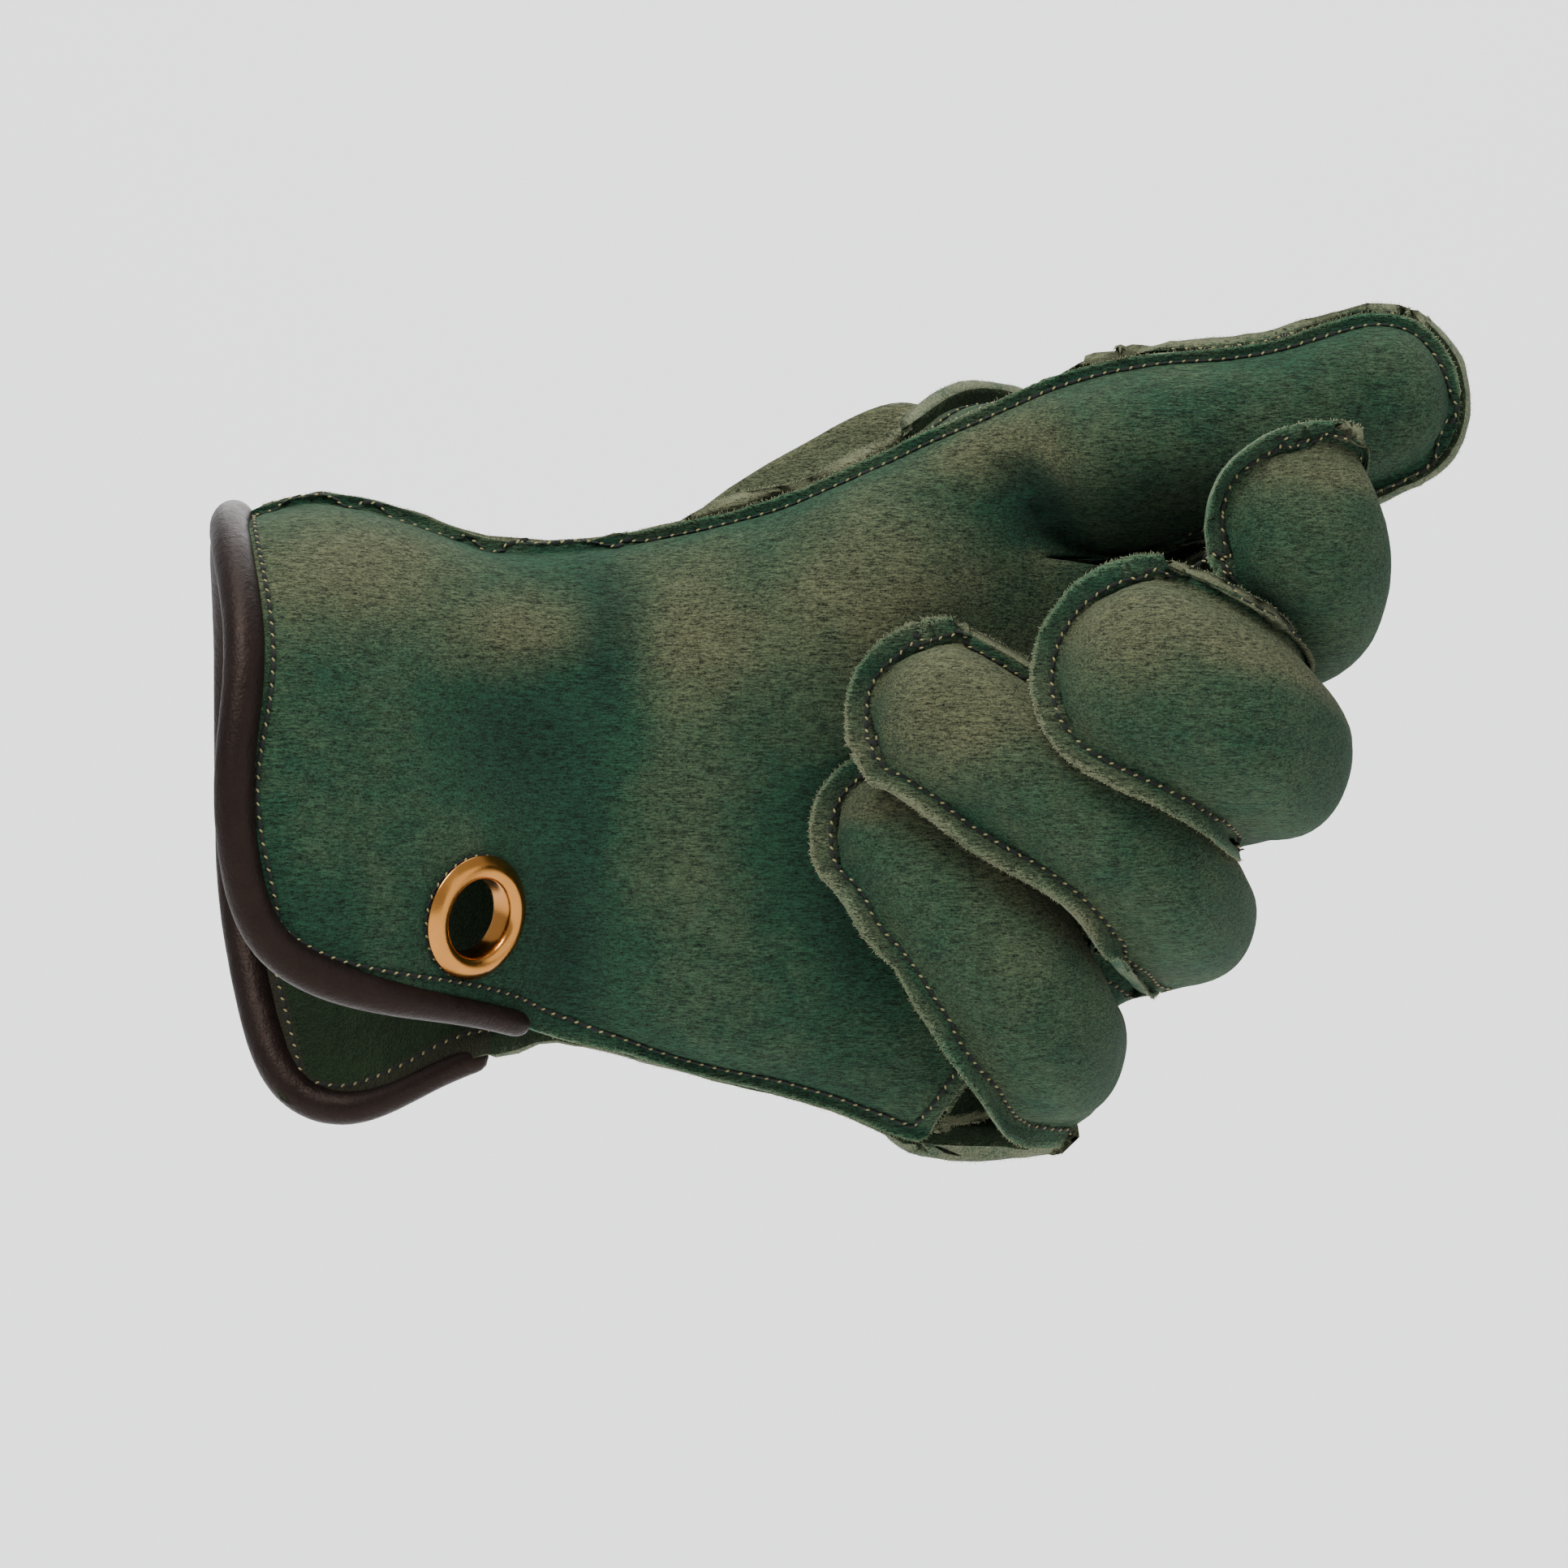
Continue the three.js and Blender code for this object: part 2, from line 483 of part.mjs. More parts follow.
// A closed geometry as a solid that can be cut
function toSolid(geometry) {
  const bare = geometry.clone();
  bare.deleteAttribute('normal');
  bare.deleteAttribute('uv');
  const merged = mergeVertices(bare, 1e-4);
  return new wasm.Manifold(new wasm.Mesh({
    numProp: 3,
    vertProperties: new Float32Array(merged.getAttribute('position').array),
    triVerts: new Uint32Array(merged.getIndex().array),
  }));
}

function fromSolid(solid) {
  const mesh = solid.getMesh();
  const geometry = new THREE.BufferGeometry();
  geometry.setAttribute('position', new THREE.BufferAttribute(mesh.vertProperties, 3));
  geometry.setIndex(new THREE.BufferAttribute(mesh.triVerts, 1));
  return geometry;
}

// Stations of a digit with their middles placed
function placed(digit, originX, lengthX) {
  const stations = digit.stations.map((s) => ({
    ...s,
    at: point(originX + s.x * lengthX, s.y * HAND_DEPTH, s.z * HAND_WIDTH),
  }));
  return { ...digit, stations };
}

const fingers = FINGER_NAMES.map((name) => placed(FINGERS[name], CUFF_LENGTH, HAND_LENGTH));
const thumb = placed(
  { stations: THUMB_STATIONS, across: THUMB_ACROSS, tip_length: THUMB_TIP, droop: 0 },
  CUFF_LENGTH + THUMB_ROOT * HAND_LENGTH,
  THUMB_LENGTH,
);

// Palm panel: near flap, palm and the front of the thumb
const palmShares = [
  ...easedShares(PALM_COLUMNS - 1, 0, THUMB_SPLIT, true, false),
  ...easedShares(DIGIT_COLUMNS - 1, THUMB_SPLIT, 1, false, true).slice(1),
];
const palmControl = PALM_SECTIONS.map((s, i) => dent(sectionRow(s, -1, palmShares, i ? 0 : MOUTH_FLAT)));
const thumbFront = digitRows(thumb, -1, { shed: THUMB_SEAM_BACK });
const thumbFull = [...palmControl.map((row) => row.slice(PALM_COLUMNS)), ...thumbFront];
const creaseShares = easedShares(PALM_COLUMNS - 1, 0, 1, true, false);
const creaseRow = sectionRow({ part: 'hand', ...CREASE }, -1, creaseShares, 0).slice(0, -1);
const palmFull = [...palmControl.map((row) => row.slice(0, PALM_COLUMNS + 1)), creaseRow];
const palmSpans = palmControl.length - 1;
const palmSteps = finer(palmSpans + THUMB_STATIONS.length, thumbFull.length - 1);
const palmPlaces = places(palmSteps.slice(0, palmSpans));

// Joins the thumb's and the palm's columns in the rows before they part
const palmLower = flow(palmFull, palmSteps);
const palmUpper = flow(thumbFull, palmSteps);
const palmRows = palmPlaces.map((_, i) => [...palmLower[i], ...palmUpper[i].slice(1)]);
const parting = palmRows[palmRows.length - 1];
const palmTail = [parting.slice(0, PALM_COLUMNS + 1), ...palmLower.slice(palmRows.length)];
const thumbTail = [parting.slice(PALM_COLUMNS), ...palmUpper.slice(palmRows.length)];

// Keeps a panel's lower edge on its own side of the lower seam
const slitEnd = PALM_SECTIONS.findIndex((s) => s.part === 'hand');
function settle(rows, at, side) {
  const seams = PALM_SECTIONS.map((s, i) => PALM_SECTIONS[Math.max(i, slitEnd)].y0 * HAND_DEPTH);
  rows.forEach((row, i) => {
    if (at[i] > palmSpans) return;
    const y = through(seams, at[i] / palmSpans) + side * LAYER;
    for (const p of row.slice(0, 2)) p.y = at[i] < slitEnd ? side * Math.max(side * p.y, side * y) : y;
  });
}
settle(palmRows, palmPlaces, -1);

// Back panel: far flap, back of the hand and the backs of the four fingers
const backColumns = DIGIT_COLUMNS * FINGER_NAMES.length;
const backShares = easedShares(backColumns - 2, 0, 1, true, true);
const backControl = BACK_SECTIONS.map((s, i) => sectionRow(s, 1, backShares, i ? 0 : MOUTH_FLAT));
const fingerBacks = fingers.map((f) => digitRows(f, 1, { open: 1 }));

// The row of a station with the shared points between neighbouring fingers averaged
function joinedRow(rows) {
  const result = rows.flatMap((row, k) => (k === 0 ? row : row.slice(1)));
  for (let k = 1; k < rows.length; k += 1) {
    result[k * DIGIT_COLUMNS] = rows[k - 1][DIGIT_COLUMNS].clone().lerp(rows[k][0], 0.5);
  }
  return result;
}
const knuckleRow = joinedRow(fingerBacks.map((rows) => rows[0]));
const afterKnuckles = joinedRow(fingerBacks.map((rows) => rows[1]));
const backSteps = [...BACK_STEPS, 1];
const backPlaces = places(BACK_STEPS);
const backRows = flow([...backControl, knuckleRow, afterKnuckles], backSteps).slice(0, -1);
settle(backRows, backPlaces, 1);
const fingerTails = fingerBacks.map((rows, k) => {
  const from = k * DIGIT_COLUMNS;
  const slice = (row) => row.slice(from, from + DIGIT_COLUMNS + 1);
  const control = [slice(backControl[backControl.length - 1]), slice(knuckleRow), ...rows.slice(1)];
  const bends = fingers[k].stations.length;
  return flow(control, finer(bends, control.length - 1)).slice(2);
});

// The leather lies flat under the eyelet
const eyeletTarget = point(EYELET_ALONG * CUFF_LENGTH, 0, EYELET_UP * HAND_WIDTH);
const eyelet = findFace(palmRows, eyeletTarget);
for (const row of palmRows) {
  for (const p of row) {
    const away = p.clone().sub(eyelet.at);
    const off = away.dot(eyelet.out);
    const near = away.addScaledVector(eyelet.out, -off).length() / EYELET_FLANGE;
    const keep = smooth((near - EYELET_FLAT) / EYELET_BLEND);
    if (Math.abs(off) < EYELET_FLANGE / 2) p.addScaledVector(eyelet.out, -off * (1 - keep));
  }
}

// Point and outward direction of a face under a place given by x and z
function findFace(rows, target) {
  let best = null;
  for (let i = 1; i + 1 < rows.length; i += 1) {
    for (let j = 1; j + 1 < rows[i].length; j += 1) {
      const p = rows[i][j];
      const far = Math.hypot(p.x - target.x, p.z - target.z);
      if (!best || far < best.far) best = { far, i, j };
    }
  }
  const turn = THREE.MathUtils.degToRad(EYELET_TURN);
  const dip = THREE.MathUtils.degToRad(EYELET_DIP);
  const out = point(Math.sin(turn) * Math.cos(dip), -Math.cos(turn) * Math.cos(dip), -Math.sin(dip));
  const at = rows[best.i][best.j].clone();
  const dx = target.x - at.x;
  const dz = target.z - at.z;
  at.set(target.x, at.y - (out.x * dx + out.z * dz) / out.y, target.z);
  return { at, out };
}

// Turned ring about the eyelet's middle line, profile as radius and height
function eyeletRing(profile) {
  const points = profile.map(([r, h]) => new THREE.Vector2(r, h));
  points.push(points[0].clone());
  const geometry = new THREE.LatheGeometry(points, EYELET_SIDES);
  const turn = new THREE.Quaternion().setFromUnitVectors(point(0, 1, 0), eyelet.out);
  geometry.applyQuaternion(turn);
  geometry.translate(eyelet.at.x, eyelet.at.y, eyelet.at.z);
  return geometry;
}

const barrelOut = EYELET_HOLE / 2 + EYELET_WALL;
const leatherFace = LEATHER / 2 + EYELET_CLEARANCE;

// Keeps the largest body of a solid that its neighbours have trimmed
function largest(solid) {
  return solid.decompose().sort((a, b) => b.volume() - a.volume())[0];
}

// A piece trimmed clear of the leather pieces that it lies against
function trimmed(geometry, neighbours) {
  let solid = toSolid(geometry);
  for (const other of neighbours) {
    const grown = toSolid(other.thicken(LEATHER + 2 * TRIM_GAP, TRIM_GAP))
      .add(toSolid(other.thicken(LEATHER)));
    if (solid.intersect(grown).volume() > 0) solid = solid.subtract(grown);
  }
  return fromSolid(largest(solid));
}

const palmSheet = new Sheet();
palmSheet.grid(palmRows, true);
palmSheet.grid(palmTail, true);
palmSheet.grid(thumbTail, true);

const backSheet = new Sheet();
backSheet.grid(backRows, false);
fingerTails.forEach((rows) => backSheet.grid(rows, false));

function makePalm() {
  const plug = new THREE.CylinderGeometry(
    barrelOut + EYELET_CLEARANCE, barrelOut + EYELET_CLEARANCE, LEATHER * 4, EYELET_SIDES);
  plug.applyQuaternion(new THREE.Quaternion().setFromUnitVectors(point(0, 1, 0), eyelet.out));
  plug.translate(eyelet.at.x, eyelet.at.y, eyelet.at.z);
  return fromSolid(toSolid(palmSheet.thicken(LEATHER)).subtract(toSolid(plug)));
}

// The thumb's back starts on the back panel's upper edge, beside its seam
// allowance, and at the web
function thumbBackSheet() {
  const rows = digitRows(thumb, 1, { shed: THUMB_SEAM_BACK });
  const web = WEB.map((w) => point(placeX('hand', w.x), w.y * HAND_DEPTH, w.z * HAND_WIDTH));
  const first = backPlaces.indexOf(BACK_SECTIONS.length - 3);
  const edge = backRows.slice(first, -1).map((row) => row[backColumns - 1].clone());
  for (const p of edge) p.y -= 2 * LAYER;
  const route = [...web, ...edge.reverse()];
  const root = rows[0].map((_, j) => along(route, j / DIGIT_COLUMNS));
  const control = [root, ...rows];
  const sheet = new Sheet();
  sheet.grid(flow(control, finer(THUMB_STATIONS.length + 1, control.length - 1)), false);
  return sheet;
}

// A finger's front starts at the palm's crease
function fingerFrontSheet(k) {
  const rows = digitRows(fingers[k], -1, { narrow: LEATHER });
  const span = 1 / FINGER_NAMES.length;
  const root = rows[0].map((_, j) => {
    const v = mix((k + CREASE_INSET) * span, (k + 1 - CREASE_INSET) * span, j / DIGIT_COLUMNS);
    return along(creaseRow, v);
  });
  const control = [root, ...rows];
  const bends = fingers[k].stations.length;
  const all = flow(control, finer(bends, control.length - 1));
  all[0].forEach((p, j) => p.lerp(all[1][j], SEAM_GAP / Math.max(p.distanceTo(all[1][j]), 1)));
  const sheet = new Sheet();
  sheet.grid(all, true);
  return sheet;
}

// Stations on the bound edge, from the slit round the mouth and back to the slit.
// inward points into the leather and face out of its inner side.
function boundEdge() {
  const bound = (at) => at.filter((place) => place <= slitEnd * BINDING_END).length - 1;
  const stations = [];
  const take = (rows, i, j, side) => {
    const last = rows[i].length - 1;
    const inner = rows[Math.max(i, 1)][Math.min(Math.max(j, 1), last - 1)];
    const run = rows[i + 1][j].clone().sub(rows[Math.max(i - 1, 0)][j]);
    const across = rows[i][Math.min(j + 1, last)].clone().sub(rows[i][Math.max(j - 1, 0)]);
    const face = across.cross(run).multiplyScalar(side).normalize();
    stations.push({ at: rows[i][j], inward: inner.clone().sub(rows[i][j]).normalize(), face });
  };
  for (let i = bound(palmPlaces); i > 0; i -= 1) take(palmRows, i, 0, 1);
  for (let j = 0; j < palmRows[0].length; j += 1) take(palmRows, 0, j, 1);
  for (let j = backRows[0].length - 1; j >= 0; j -= 2) take(backRows, 0, j, -1);
  for (let i = 1; i <= bound(backPlaces); i += 1) take(backRows, i, 0, -1);
  return stations;
}

// Section of the binding: a roll with a slot for the leather. First number into the
// leather, second out of its face.
function bindingSection() {
  const radius = BINDING_DIAMETER / 2;
  const slot = LEATHER / 2 + BINDING_CLEARANCE;
  const start = Math.PI / 4;
  const section = [];
  for (let k = 0; k <= BINDING_ARC; k += 1) {
    const angle = mix(start, 2 * Math.PI - start, k / BINDING_ARC);
    section.push([Math.cos(angle) * radius, Math.sin(angle) * radius]);
  }
  section.push([BINDING_LEG, -slot - BINDING_LIP], [BINDING_LEG, -slot]);
  section.push([-LEATHER / 2, -slot], [-LEATHER / 2, slot], [BINDING_LEG, slot]);
  section.push([BINDING_LEG, slot + BINDING_LIP]);
  return section;
}

// Binding rolled over the leather's edge
function makeBinding() {
  const edge = boundEdge();
  const centre = edge.map((e) => e.at);
  const section = bindingSection();
  const rings = [];
  for (let i = 0; i <= BINDING_STEPS; i += 1) {
    const t = i / BINDING_STEPS;
    const near = 0.2 / BINDING_STEPS;
    const ahead = along(centre, Math.min(1, t + near)).sub(along(centre, Math.max(0, t - near)));
    ahead.normalize();
    const guess = new THREE.Vector3().crossVectors(ahead, along(edge.map((e) => e.inward), t));
    const out = along(edge.map((e) => e.face), t);
    out.addScaledVector(ahead, -out.dot(ahead)).normalize();
    if (out.dot(guess) < 0) out.negate();
    const inward = new THREE.Vector3().crossVectors(out, ahead);
    const at = along(centre, t);
    rings.push(section.map(([a, b]) => at.clone().addScaledVector(inward, a).addScaledVector(out, b)));
  }
  return loft(rings, section);
}

// Closed solid through rings of points, with flat ends
function loft(rings, outline) {
  const n = rings[0].length;
  const points = rings.flat();
  const faces = [];
  for (let i = 0; i + 1 < rings.length; i += 1) {
    for (let j = 0; j < n; j += 1) {
      const a = i * n + j;
      const b = i * n + ((j + 1) % n);
      faces.push([a, b, b + n], [a, b + n, a + n]);
    }
  }
  const cap = THREE.ShapeUtils.triangulateShape(outline.map(([a, b]) => new THREE.Vector2(a, b)), []);
  const end = (rings.length - 1) * n;
  for (const [a, b, c] of cap) faces.push([c, b, a], [a + end, b + end, c + end]);
  return solidFrom(points, faces);
}

function makeEyeletFront() {
  const hole = EYELET_HOLE / 2;
  const edge = EYELET_FLANGE / 2;
  return eyeletRing([
    [hole, -leatherFace - WASHER_THICKNESS],
    [barrelOut, -leatherFace - WASHER_THICKNESS],
    [barrelOut, leatherFace],
    ...EYELET_ROLL.map(({ out, up }) => [mix(hole, edge, out), leatherFace + EYELET_RISE * up]),
  ]);
}

function makeEyeletBack() {
  const inner = barrelOut + EYELET_CLEARANCE;
  const outer = EYELET_FLANGE / 2 - WASHER_INSET;
  return eyeletRing([
    [inner, -leatherFace - WASHER_THICKNESS],
    [outer, -leatherFace - WASHER_THICKNESS],
    [outer, -leatherFace],
    [inner, -leatherFace],
  ]);
}

const GREEN = '#3f5741';
const UNDER = '#35493a';
const leather = (color) => new THREE.MeshStandardMaterial({ color, roughness: 0.95 });
const brass = () => new THREE.MeshStandardMaterial({ color: '#b08a3c', roughness: 0.3, metalness: 1 });
const glove = new THREE.Group();

function add(name, geometry, material) {
  const mesh = new THREE.Mesh(geometry, material);
  mesh.name = name;
  glove.add(mesh);
}

add('palm_panel', makePalm(), leather(GREEN));
add('back_panel', trimmed(backSheet.thicken(LEATHER), [palmSheet]), leather(GREEN));
const thumbBack = thumbBackSheet();
add('thumb_back', trimmed(thumbBack.thicken(LEATHER), [palmSheet, backSheet]), leather(GREEN));
const fronts = FINGER_NAMES.map((_, k) => fingerFrontSheet(k));
FINGER_NAMES.forEach((name, k) => {
  const others = [palmSheet, backSheet, thumbBack, ...fronts.slice(0, k)];
  add(`${name}_front`, trimmed(fronts[k].thicken(LEATHER), others), leather(UNDER));
});
const brown = new THREE.MeshStandardMaterial({ color: '#2b2220', roughness: 0.45 });
add('cuff_binding', trimmed(makeBinding(), [palmSheet, backSheet]), brown);
add('eyelet_front', makeEyeletFront(), brass());
add('eyelet_back', makeEyeletBack(), brass());

export default glove;
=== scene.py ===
"""Looks of a left-hand falconry glove: green nubuck panels with raw seam edges,
stitches, a rolled leather binding and a brass eyelet, on the glove's solid frame.

Blender's lengths are metres. Values whose name or table says mm are millimetres.
+X runs to the fingers, +Z to the thumb and -Y is the palm side.
"""

import math

import bmesh
import bpy
import numpy as np
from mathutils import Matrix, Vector, noise
from mathutils.bvhtree import BVHTree
from mathutils.kdtree import KDTree


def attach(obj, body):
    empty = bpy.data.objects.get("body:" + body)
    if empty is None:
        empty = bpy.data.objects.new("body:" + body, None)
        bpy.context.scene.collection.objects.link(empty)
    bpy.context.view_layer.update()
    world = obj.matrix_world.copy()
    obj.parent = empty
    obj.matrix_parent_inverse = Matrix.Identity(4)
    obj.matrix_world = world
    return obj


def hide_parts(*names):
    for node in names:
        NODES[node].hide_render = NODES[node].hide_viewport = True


bl_info = {
    "name": "Falconry glove",
    "version": (1, 0, 0),
    "blender": (4, 5, 0),
    "location": "View3D > Sidebar > Glove",
    "description": "Builds the leather, seams, binding and eyelet of a falconry glove",
    "category": "Object",
}

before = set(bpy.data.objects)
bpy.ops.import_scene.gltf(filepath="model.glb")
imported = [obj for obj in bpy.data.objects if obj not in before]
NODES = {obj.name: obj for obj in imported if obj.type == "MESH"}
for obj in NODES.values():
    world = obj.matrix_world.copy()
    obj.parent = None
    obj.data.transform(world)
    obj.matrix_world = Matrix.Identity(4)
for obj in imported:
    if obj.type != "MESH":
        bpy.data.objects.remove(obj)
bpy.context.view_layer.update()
MM = 0.001

# Regions of a leather panel, which are also its material slots
GRAIN, FLESH, CUT = 0, 1, 2

# Panels of leather. out: the way along y that the grain side faces. grow: how far its cut
# edges stand out past the solid's, in mm. inset: the stitches' way in from the cut edge,
# in mm. fine: how often its faces are halved.
PANELS = {
    "palm_panel": {"out": -1, "grow": 0.0, "inset": 3.2, "fine": 2},
    "back_panel": {"out": 1, "grow": 2.7, "inset": 3.4, "fine": 2},
    "thumb_back": {"out": 1, "grow": 1.9, "inset": 3.4, "fine": 2},
    "little_front": {"out": -1, "grow": 0.4, "inset": 2.3, "fine": 2},
    "ring_front": {"out": -1, "grow": 0.4, "inset": 2.3, "fine": 2},
    "middle_front": {"out": -1, "grow": 0.4, "inset": 2.3, "fine": 2},
    "index_front": {"out": -1, "grow": 0.4, "inset": 2.3, "fine": 2},
}

# Places on the palm side where the nap is tan, partly real rubbing and partly a painted highlight on
# crests that face up to the light, in mm, with the reach along x and z and a strength from 0 to 1
RUBBED_AND_LIT = [
    {"name": "cuff_top", "x": 20, "z": 33, "rx": 26, "rz": 10, "amount": 0.75},
    {"name": "wrist_crest", "x": 44, "z": 24, "rx": 13, "rz": 9, "amount": 0.8},
    {"name": "cuff_middle", "x": 28, "z": 8, "rx": 24, "rz": 16, "amount": 0.1},
    {"name": "palm_top", "x": 70, "z": 26, "rx": 16, "rz": 14, "amount": 0.75},
    {"name": "thenar", "x": 96, "z": 30, "rx": 20, "rz": 16, "amount": 0.6},
    {"name": "thumb_ball", "x": 118, "z": 50, "rx": 11, "rz": 7, "amount": 1.0},
    {"name": "palm_middle", "x": 70, "z": -6, "rx": 12, "rz": 14, "amount": 0.2},
    {"name": "middle_tip", "x": 138, "z": 22, "rx": 10, "rz": 8, "amount": 0.65},
    {"name": "ring_tip", "x": 110, "z": 10, "rx": 14, "rz": 9, "amount": 0.8},
    {"name": "index_tip", "x": 166, "z": 44, "rx": 8, "rz": 8, "amount": 0.15},
    {"name": "little_side", "x": 122, "z": -22, "rx": 12, "rz": 12, "amount": 0.2},
]

# Places where painted shade darkens the nap to a bluish colour: dents, folds, the thumb's web, lower
# parts and sides turned away from the light, as above
SHADED = [
    {"name": "cuff_dent", "x": 44, "z": 6, "rx": 9, "rz": 12, "amount": 0.7},
    {"name": "slit_dent", "x": 50, "z": -24, "rx": 6, "rz": 14, "amount": 0.7},
    {"name": "wrist_groove", "x": 57, "z": 22, "rx": 5, "rz": 16, "amount": 0.7},
    {"name": "wrist_low", "x": 54, "z": -8, "rx": 5, "rz": 14, "amount": 0.6},
    {"name": "cuff_low", "x": 20, "z": -22, "rx": 22, "rz": 14, "amount": 0.4},
    {"name": "thumb_fold", "x": 125, "z": 41, "rx": 5, "rz": 7, "amount": 1.0},
    {"name": "thumb_web", "x": 134, "z": 37, "rx": 14, "rz": 5, "amount": 0.7},
    {"name": "palm_edge", "x": 94, "z": -14, "rx": 6, "rz": 26, "amount": 0.5},
    {"name": "palm_bottom", "x": 92, "z": -48, "rx": 24, "rz": 12, "amount": 0.5},
    {"name": "thumb_low", "x": 174, "z": 54, "rx": 18, "rz": 14, "amount": 0.55},
    {"name": "index_side", "x": 178, "z": 28, "rx": 8, "rz": 16, "amount": 0.6},
    {"name": "middle_side", "x": 168, "z": -3, "rx": 9, "rz": 14, "amount": 0.75},
    {"name": "ring_side", "x": 154, "z": -24, "rx": 10, "rz": 12, "amount": 0.65},
    {"name": "little_low", "x": 132, "z": -44, "rx": 13, "rz": 12, "amount": 0.65},
    {"name": "index_low", "x": 170, "z": 30, "rx": 9, "rz": 6, "amount": 0.3},
]

# Fine folds of the palm side: both ends, width and depth in mm
FOLDS = [
    {"name": "middle_a", "x0": 138, "z0": 10, "x1": 152, "z1": 4, "wide": 0.7, "deep": 0.3},
    {"name": "middle_b", "x0": 134, "z0": 7, "x1": 148, "z1": 0, "wide": 0.7, "deep": 0.35},
    {"name": "middle_c", "x0": 142, "z0": 15, "x1": 155, "z1": 9, "wide": 0.8, "deep": 0.25},
    {"name": "ring_a", "x0": 106, "z0": 6, "x1": 118, "z1": -2, "wide": 0.7, "deep": 0.3},
    {"name": "ring_b", "x0": 104, "z0": 2, "x1": 114, "z1": -5, "wide": 0.7, "deep": 0.25},
    {"name": "ring_c", "x0": 112, "z0": 10, "x1": 122, "z1": 4, "wide": 0.8, "deep": 0.25},
    {"name": "wrist_a", "x0": 56, "z0": 26, "x1": 60, "z1": 6, "wide": 1.6, "deep": 0.5},
    {"name": "wrist_b", "x0": 50, "z0": 4, "x1": 55, "z1": -14, "wide": 1.5, "deep": 0.5},
    {"name": "wrist_c", "x0": 49, "z0": -18, "x1": 53, "z1": -32, "wide": 1.4, "deep": 0.5},
    {"name": "thumb_a", "x0": 121, "z0": 47, "x1": 126, "z1": 37, "wide": 1.5, "deep": 1.0},
    {"name": "thumb_b", "x0": 127, "z0": 44, "x1": 136, "z1": 38, "wide": 1.3, "deep": 0.4},
]

# Where the back's edge lies flush with the palm's, as a reach along x and z in mm
FLUSH = [
    {"name": "palm_bottom", "x0": 40, "x1": 106, "z0": -70, "z1": -24},
    {"name": "cuff_top", "x0": -10, "x1": 74, "z0": 18, "z1": 60},
]

# Where the thumb's lower seam turns in at its root and shows neither edge nor stitches:
# its reach along x and z in mm
TURNED_IN = {"x0": 112, "x1": 147, "z0": 27, "z1": 41}


class GLOVE_PG_leather(bpy.types.PropertyGroup):
    """Colours and relief of the nubuck"""

    green: bpy.props.FloatVectorProperty(
        name="Green", description="Colour of the nap", subtype="COLOR", size=3,
        default=(0.0105, 0.0395, 0.02), min=0, max=1,
    )
    # Tan of the rubbed nap, also used as a painted highlight where the nap faces up to the light
    tan: bpy.props.FloatVectorProperty(
        name="Tan", description="Colour of the rubbed nap", subtype="COLOR", size=3,
        default=(0.078, 0.077, 0.04), min=0, max=1,
    )
    # Painted shade: the bluish colour blended into dents, folds, the stitch line and sides turned away
    # from the light
    shade: bpy.props.FloatVectorProperty(
        name="Shade", description="Colour of the nap in dents", subtype="COLOR", size=3,
        default=(0.0035, 0.0175, 0.0115), min=0, max=1,
    )
    raw: bpy.props.FloatVectorProperty(
        name="Raw edge", description="Colour of a cut edge", subtype="COLOR", size=3,
        default=(0.19, 0.195, 0.115), min=0, max=1,
    )
    flesh: bpy.props.FloatVectorProperty(
        name="Flesh side", description="Colour of the inside", subtype="COLOR", size=3,
        default=(0.0075, 0.018, 0.0065), min=0, max=1,
    )
    turned: bpy.props.FloatVectorProperty(
        name="Turned-in binding", description="Colour of the binding inside the cuff",
        subtype="COLOR", size=3, default=(0.016, 0.011, 0.008), min=0, max=1,
    )
    relief: bpy.props.FloatProperty(
        name="Relief", description="Height of the leather's soft unevenness",
        default=0.35 * MM, min=0, subtype="DISTANCE", unit="LENGTH",
    )
    wave: bpy.props.FloatProperty(
        name="Edge wave", description="How far a cut edge waves out of its plane",
        default=0.45 * MM, min=0, subtype="DISTANCE", unit="LENGTH",
    )
    fuzz: bpy.props.FloatProperty(
        name="Fuzz", description="Length of the loose fibres of a cut edge",
        default=0.75 * MM, min=0, subtype="DISTANCE", unit="LENGTH",
    )
    fuzz_step: bpy.props.FloatProperty(
        name="Fuzz spacing", description="From one loose fibre to the next",
        default=0.3 * MM, min=0.05 * MM, subtype="DISTANCE", unit="LENGTH",
    )


class GLOVE_PG_stitches(bpy.types.PropertyGroup):
    """Sizes of the seams' stitches"""

    pitch: bpy.props.FloatProperty(
        name="Pitch", description="From one stitch to the next",
        default=2.05 * MM, min=0.5 * MM, subtype="DISTANCE", unit="LENGTH",
    )
    length: bpy.props.FloatProperty(
        name="Length", description="Length of one stitch",
        default=0.8 * MM, min=0.1 * MM, subtype="DISTANCE", unit="LENGTH",
    )
    width: bpy.props.FloatProperty(
        name="Thread", description="Width of the thread",
        default=0.37 * MM, min=0.1 * MM, subtype="DISTANCE", unit="LENGTH",
    )
    slant: bpy.props.FloatProperty(
        name="Slant", description="Turn of a stitch out of its line",
        default=math.radians(38), subtype="ANGLE", unit="ROTATION",
    )
    bound_inset: bpy.props.FloatProperty(
        name="Binding inset", description="From a bound edge to the stitches",
        default=4.1 * MM, min=0.5 * MM, subtype="DISTANCE", unit="LENGTH",
    )
    thread: bpy.props.FloatVectorProperty(
        name="Thread colour", description="Colour of the thread", subtype="COLOR",
        size=3, default=(0.19, 0.165, 0.075), min=0, max=1,
    )


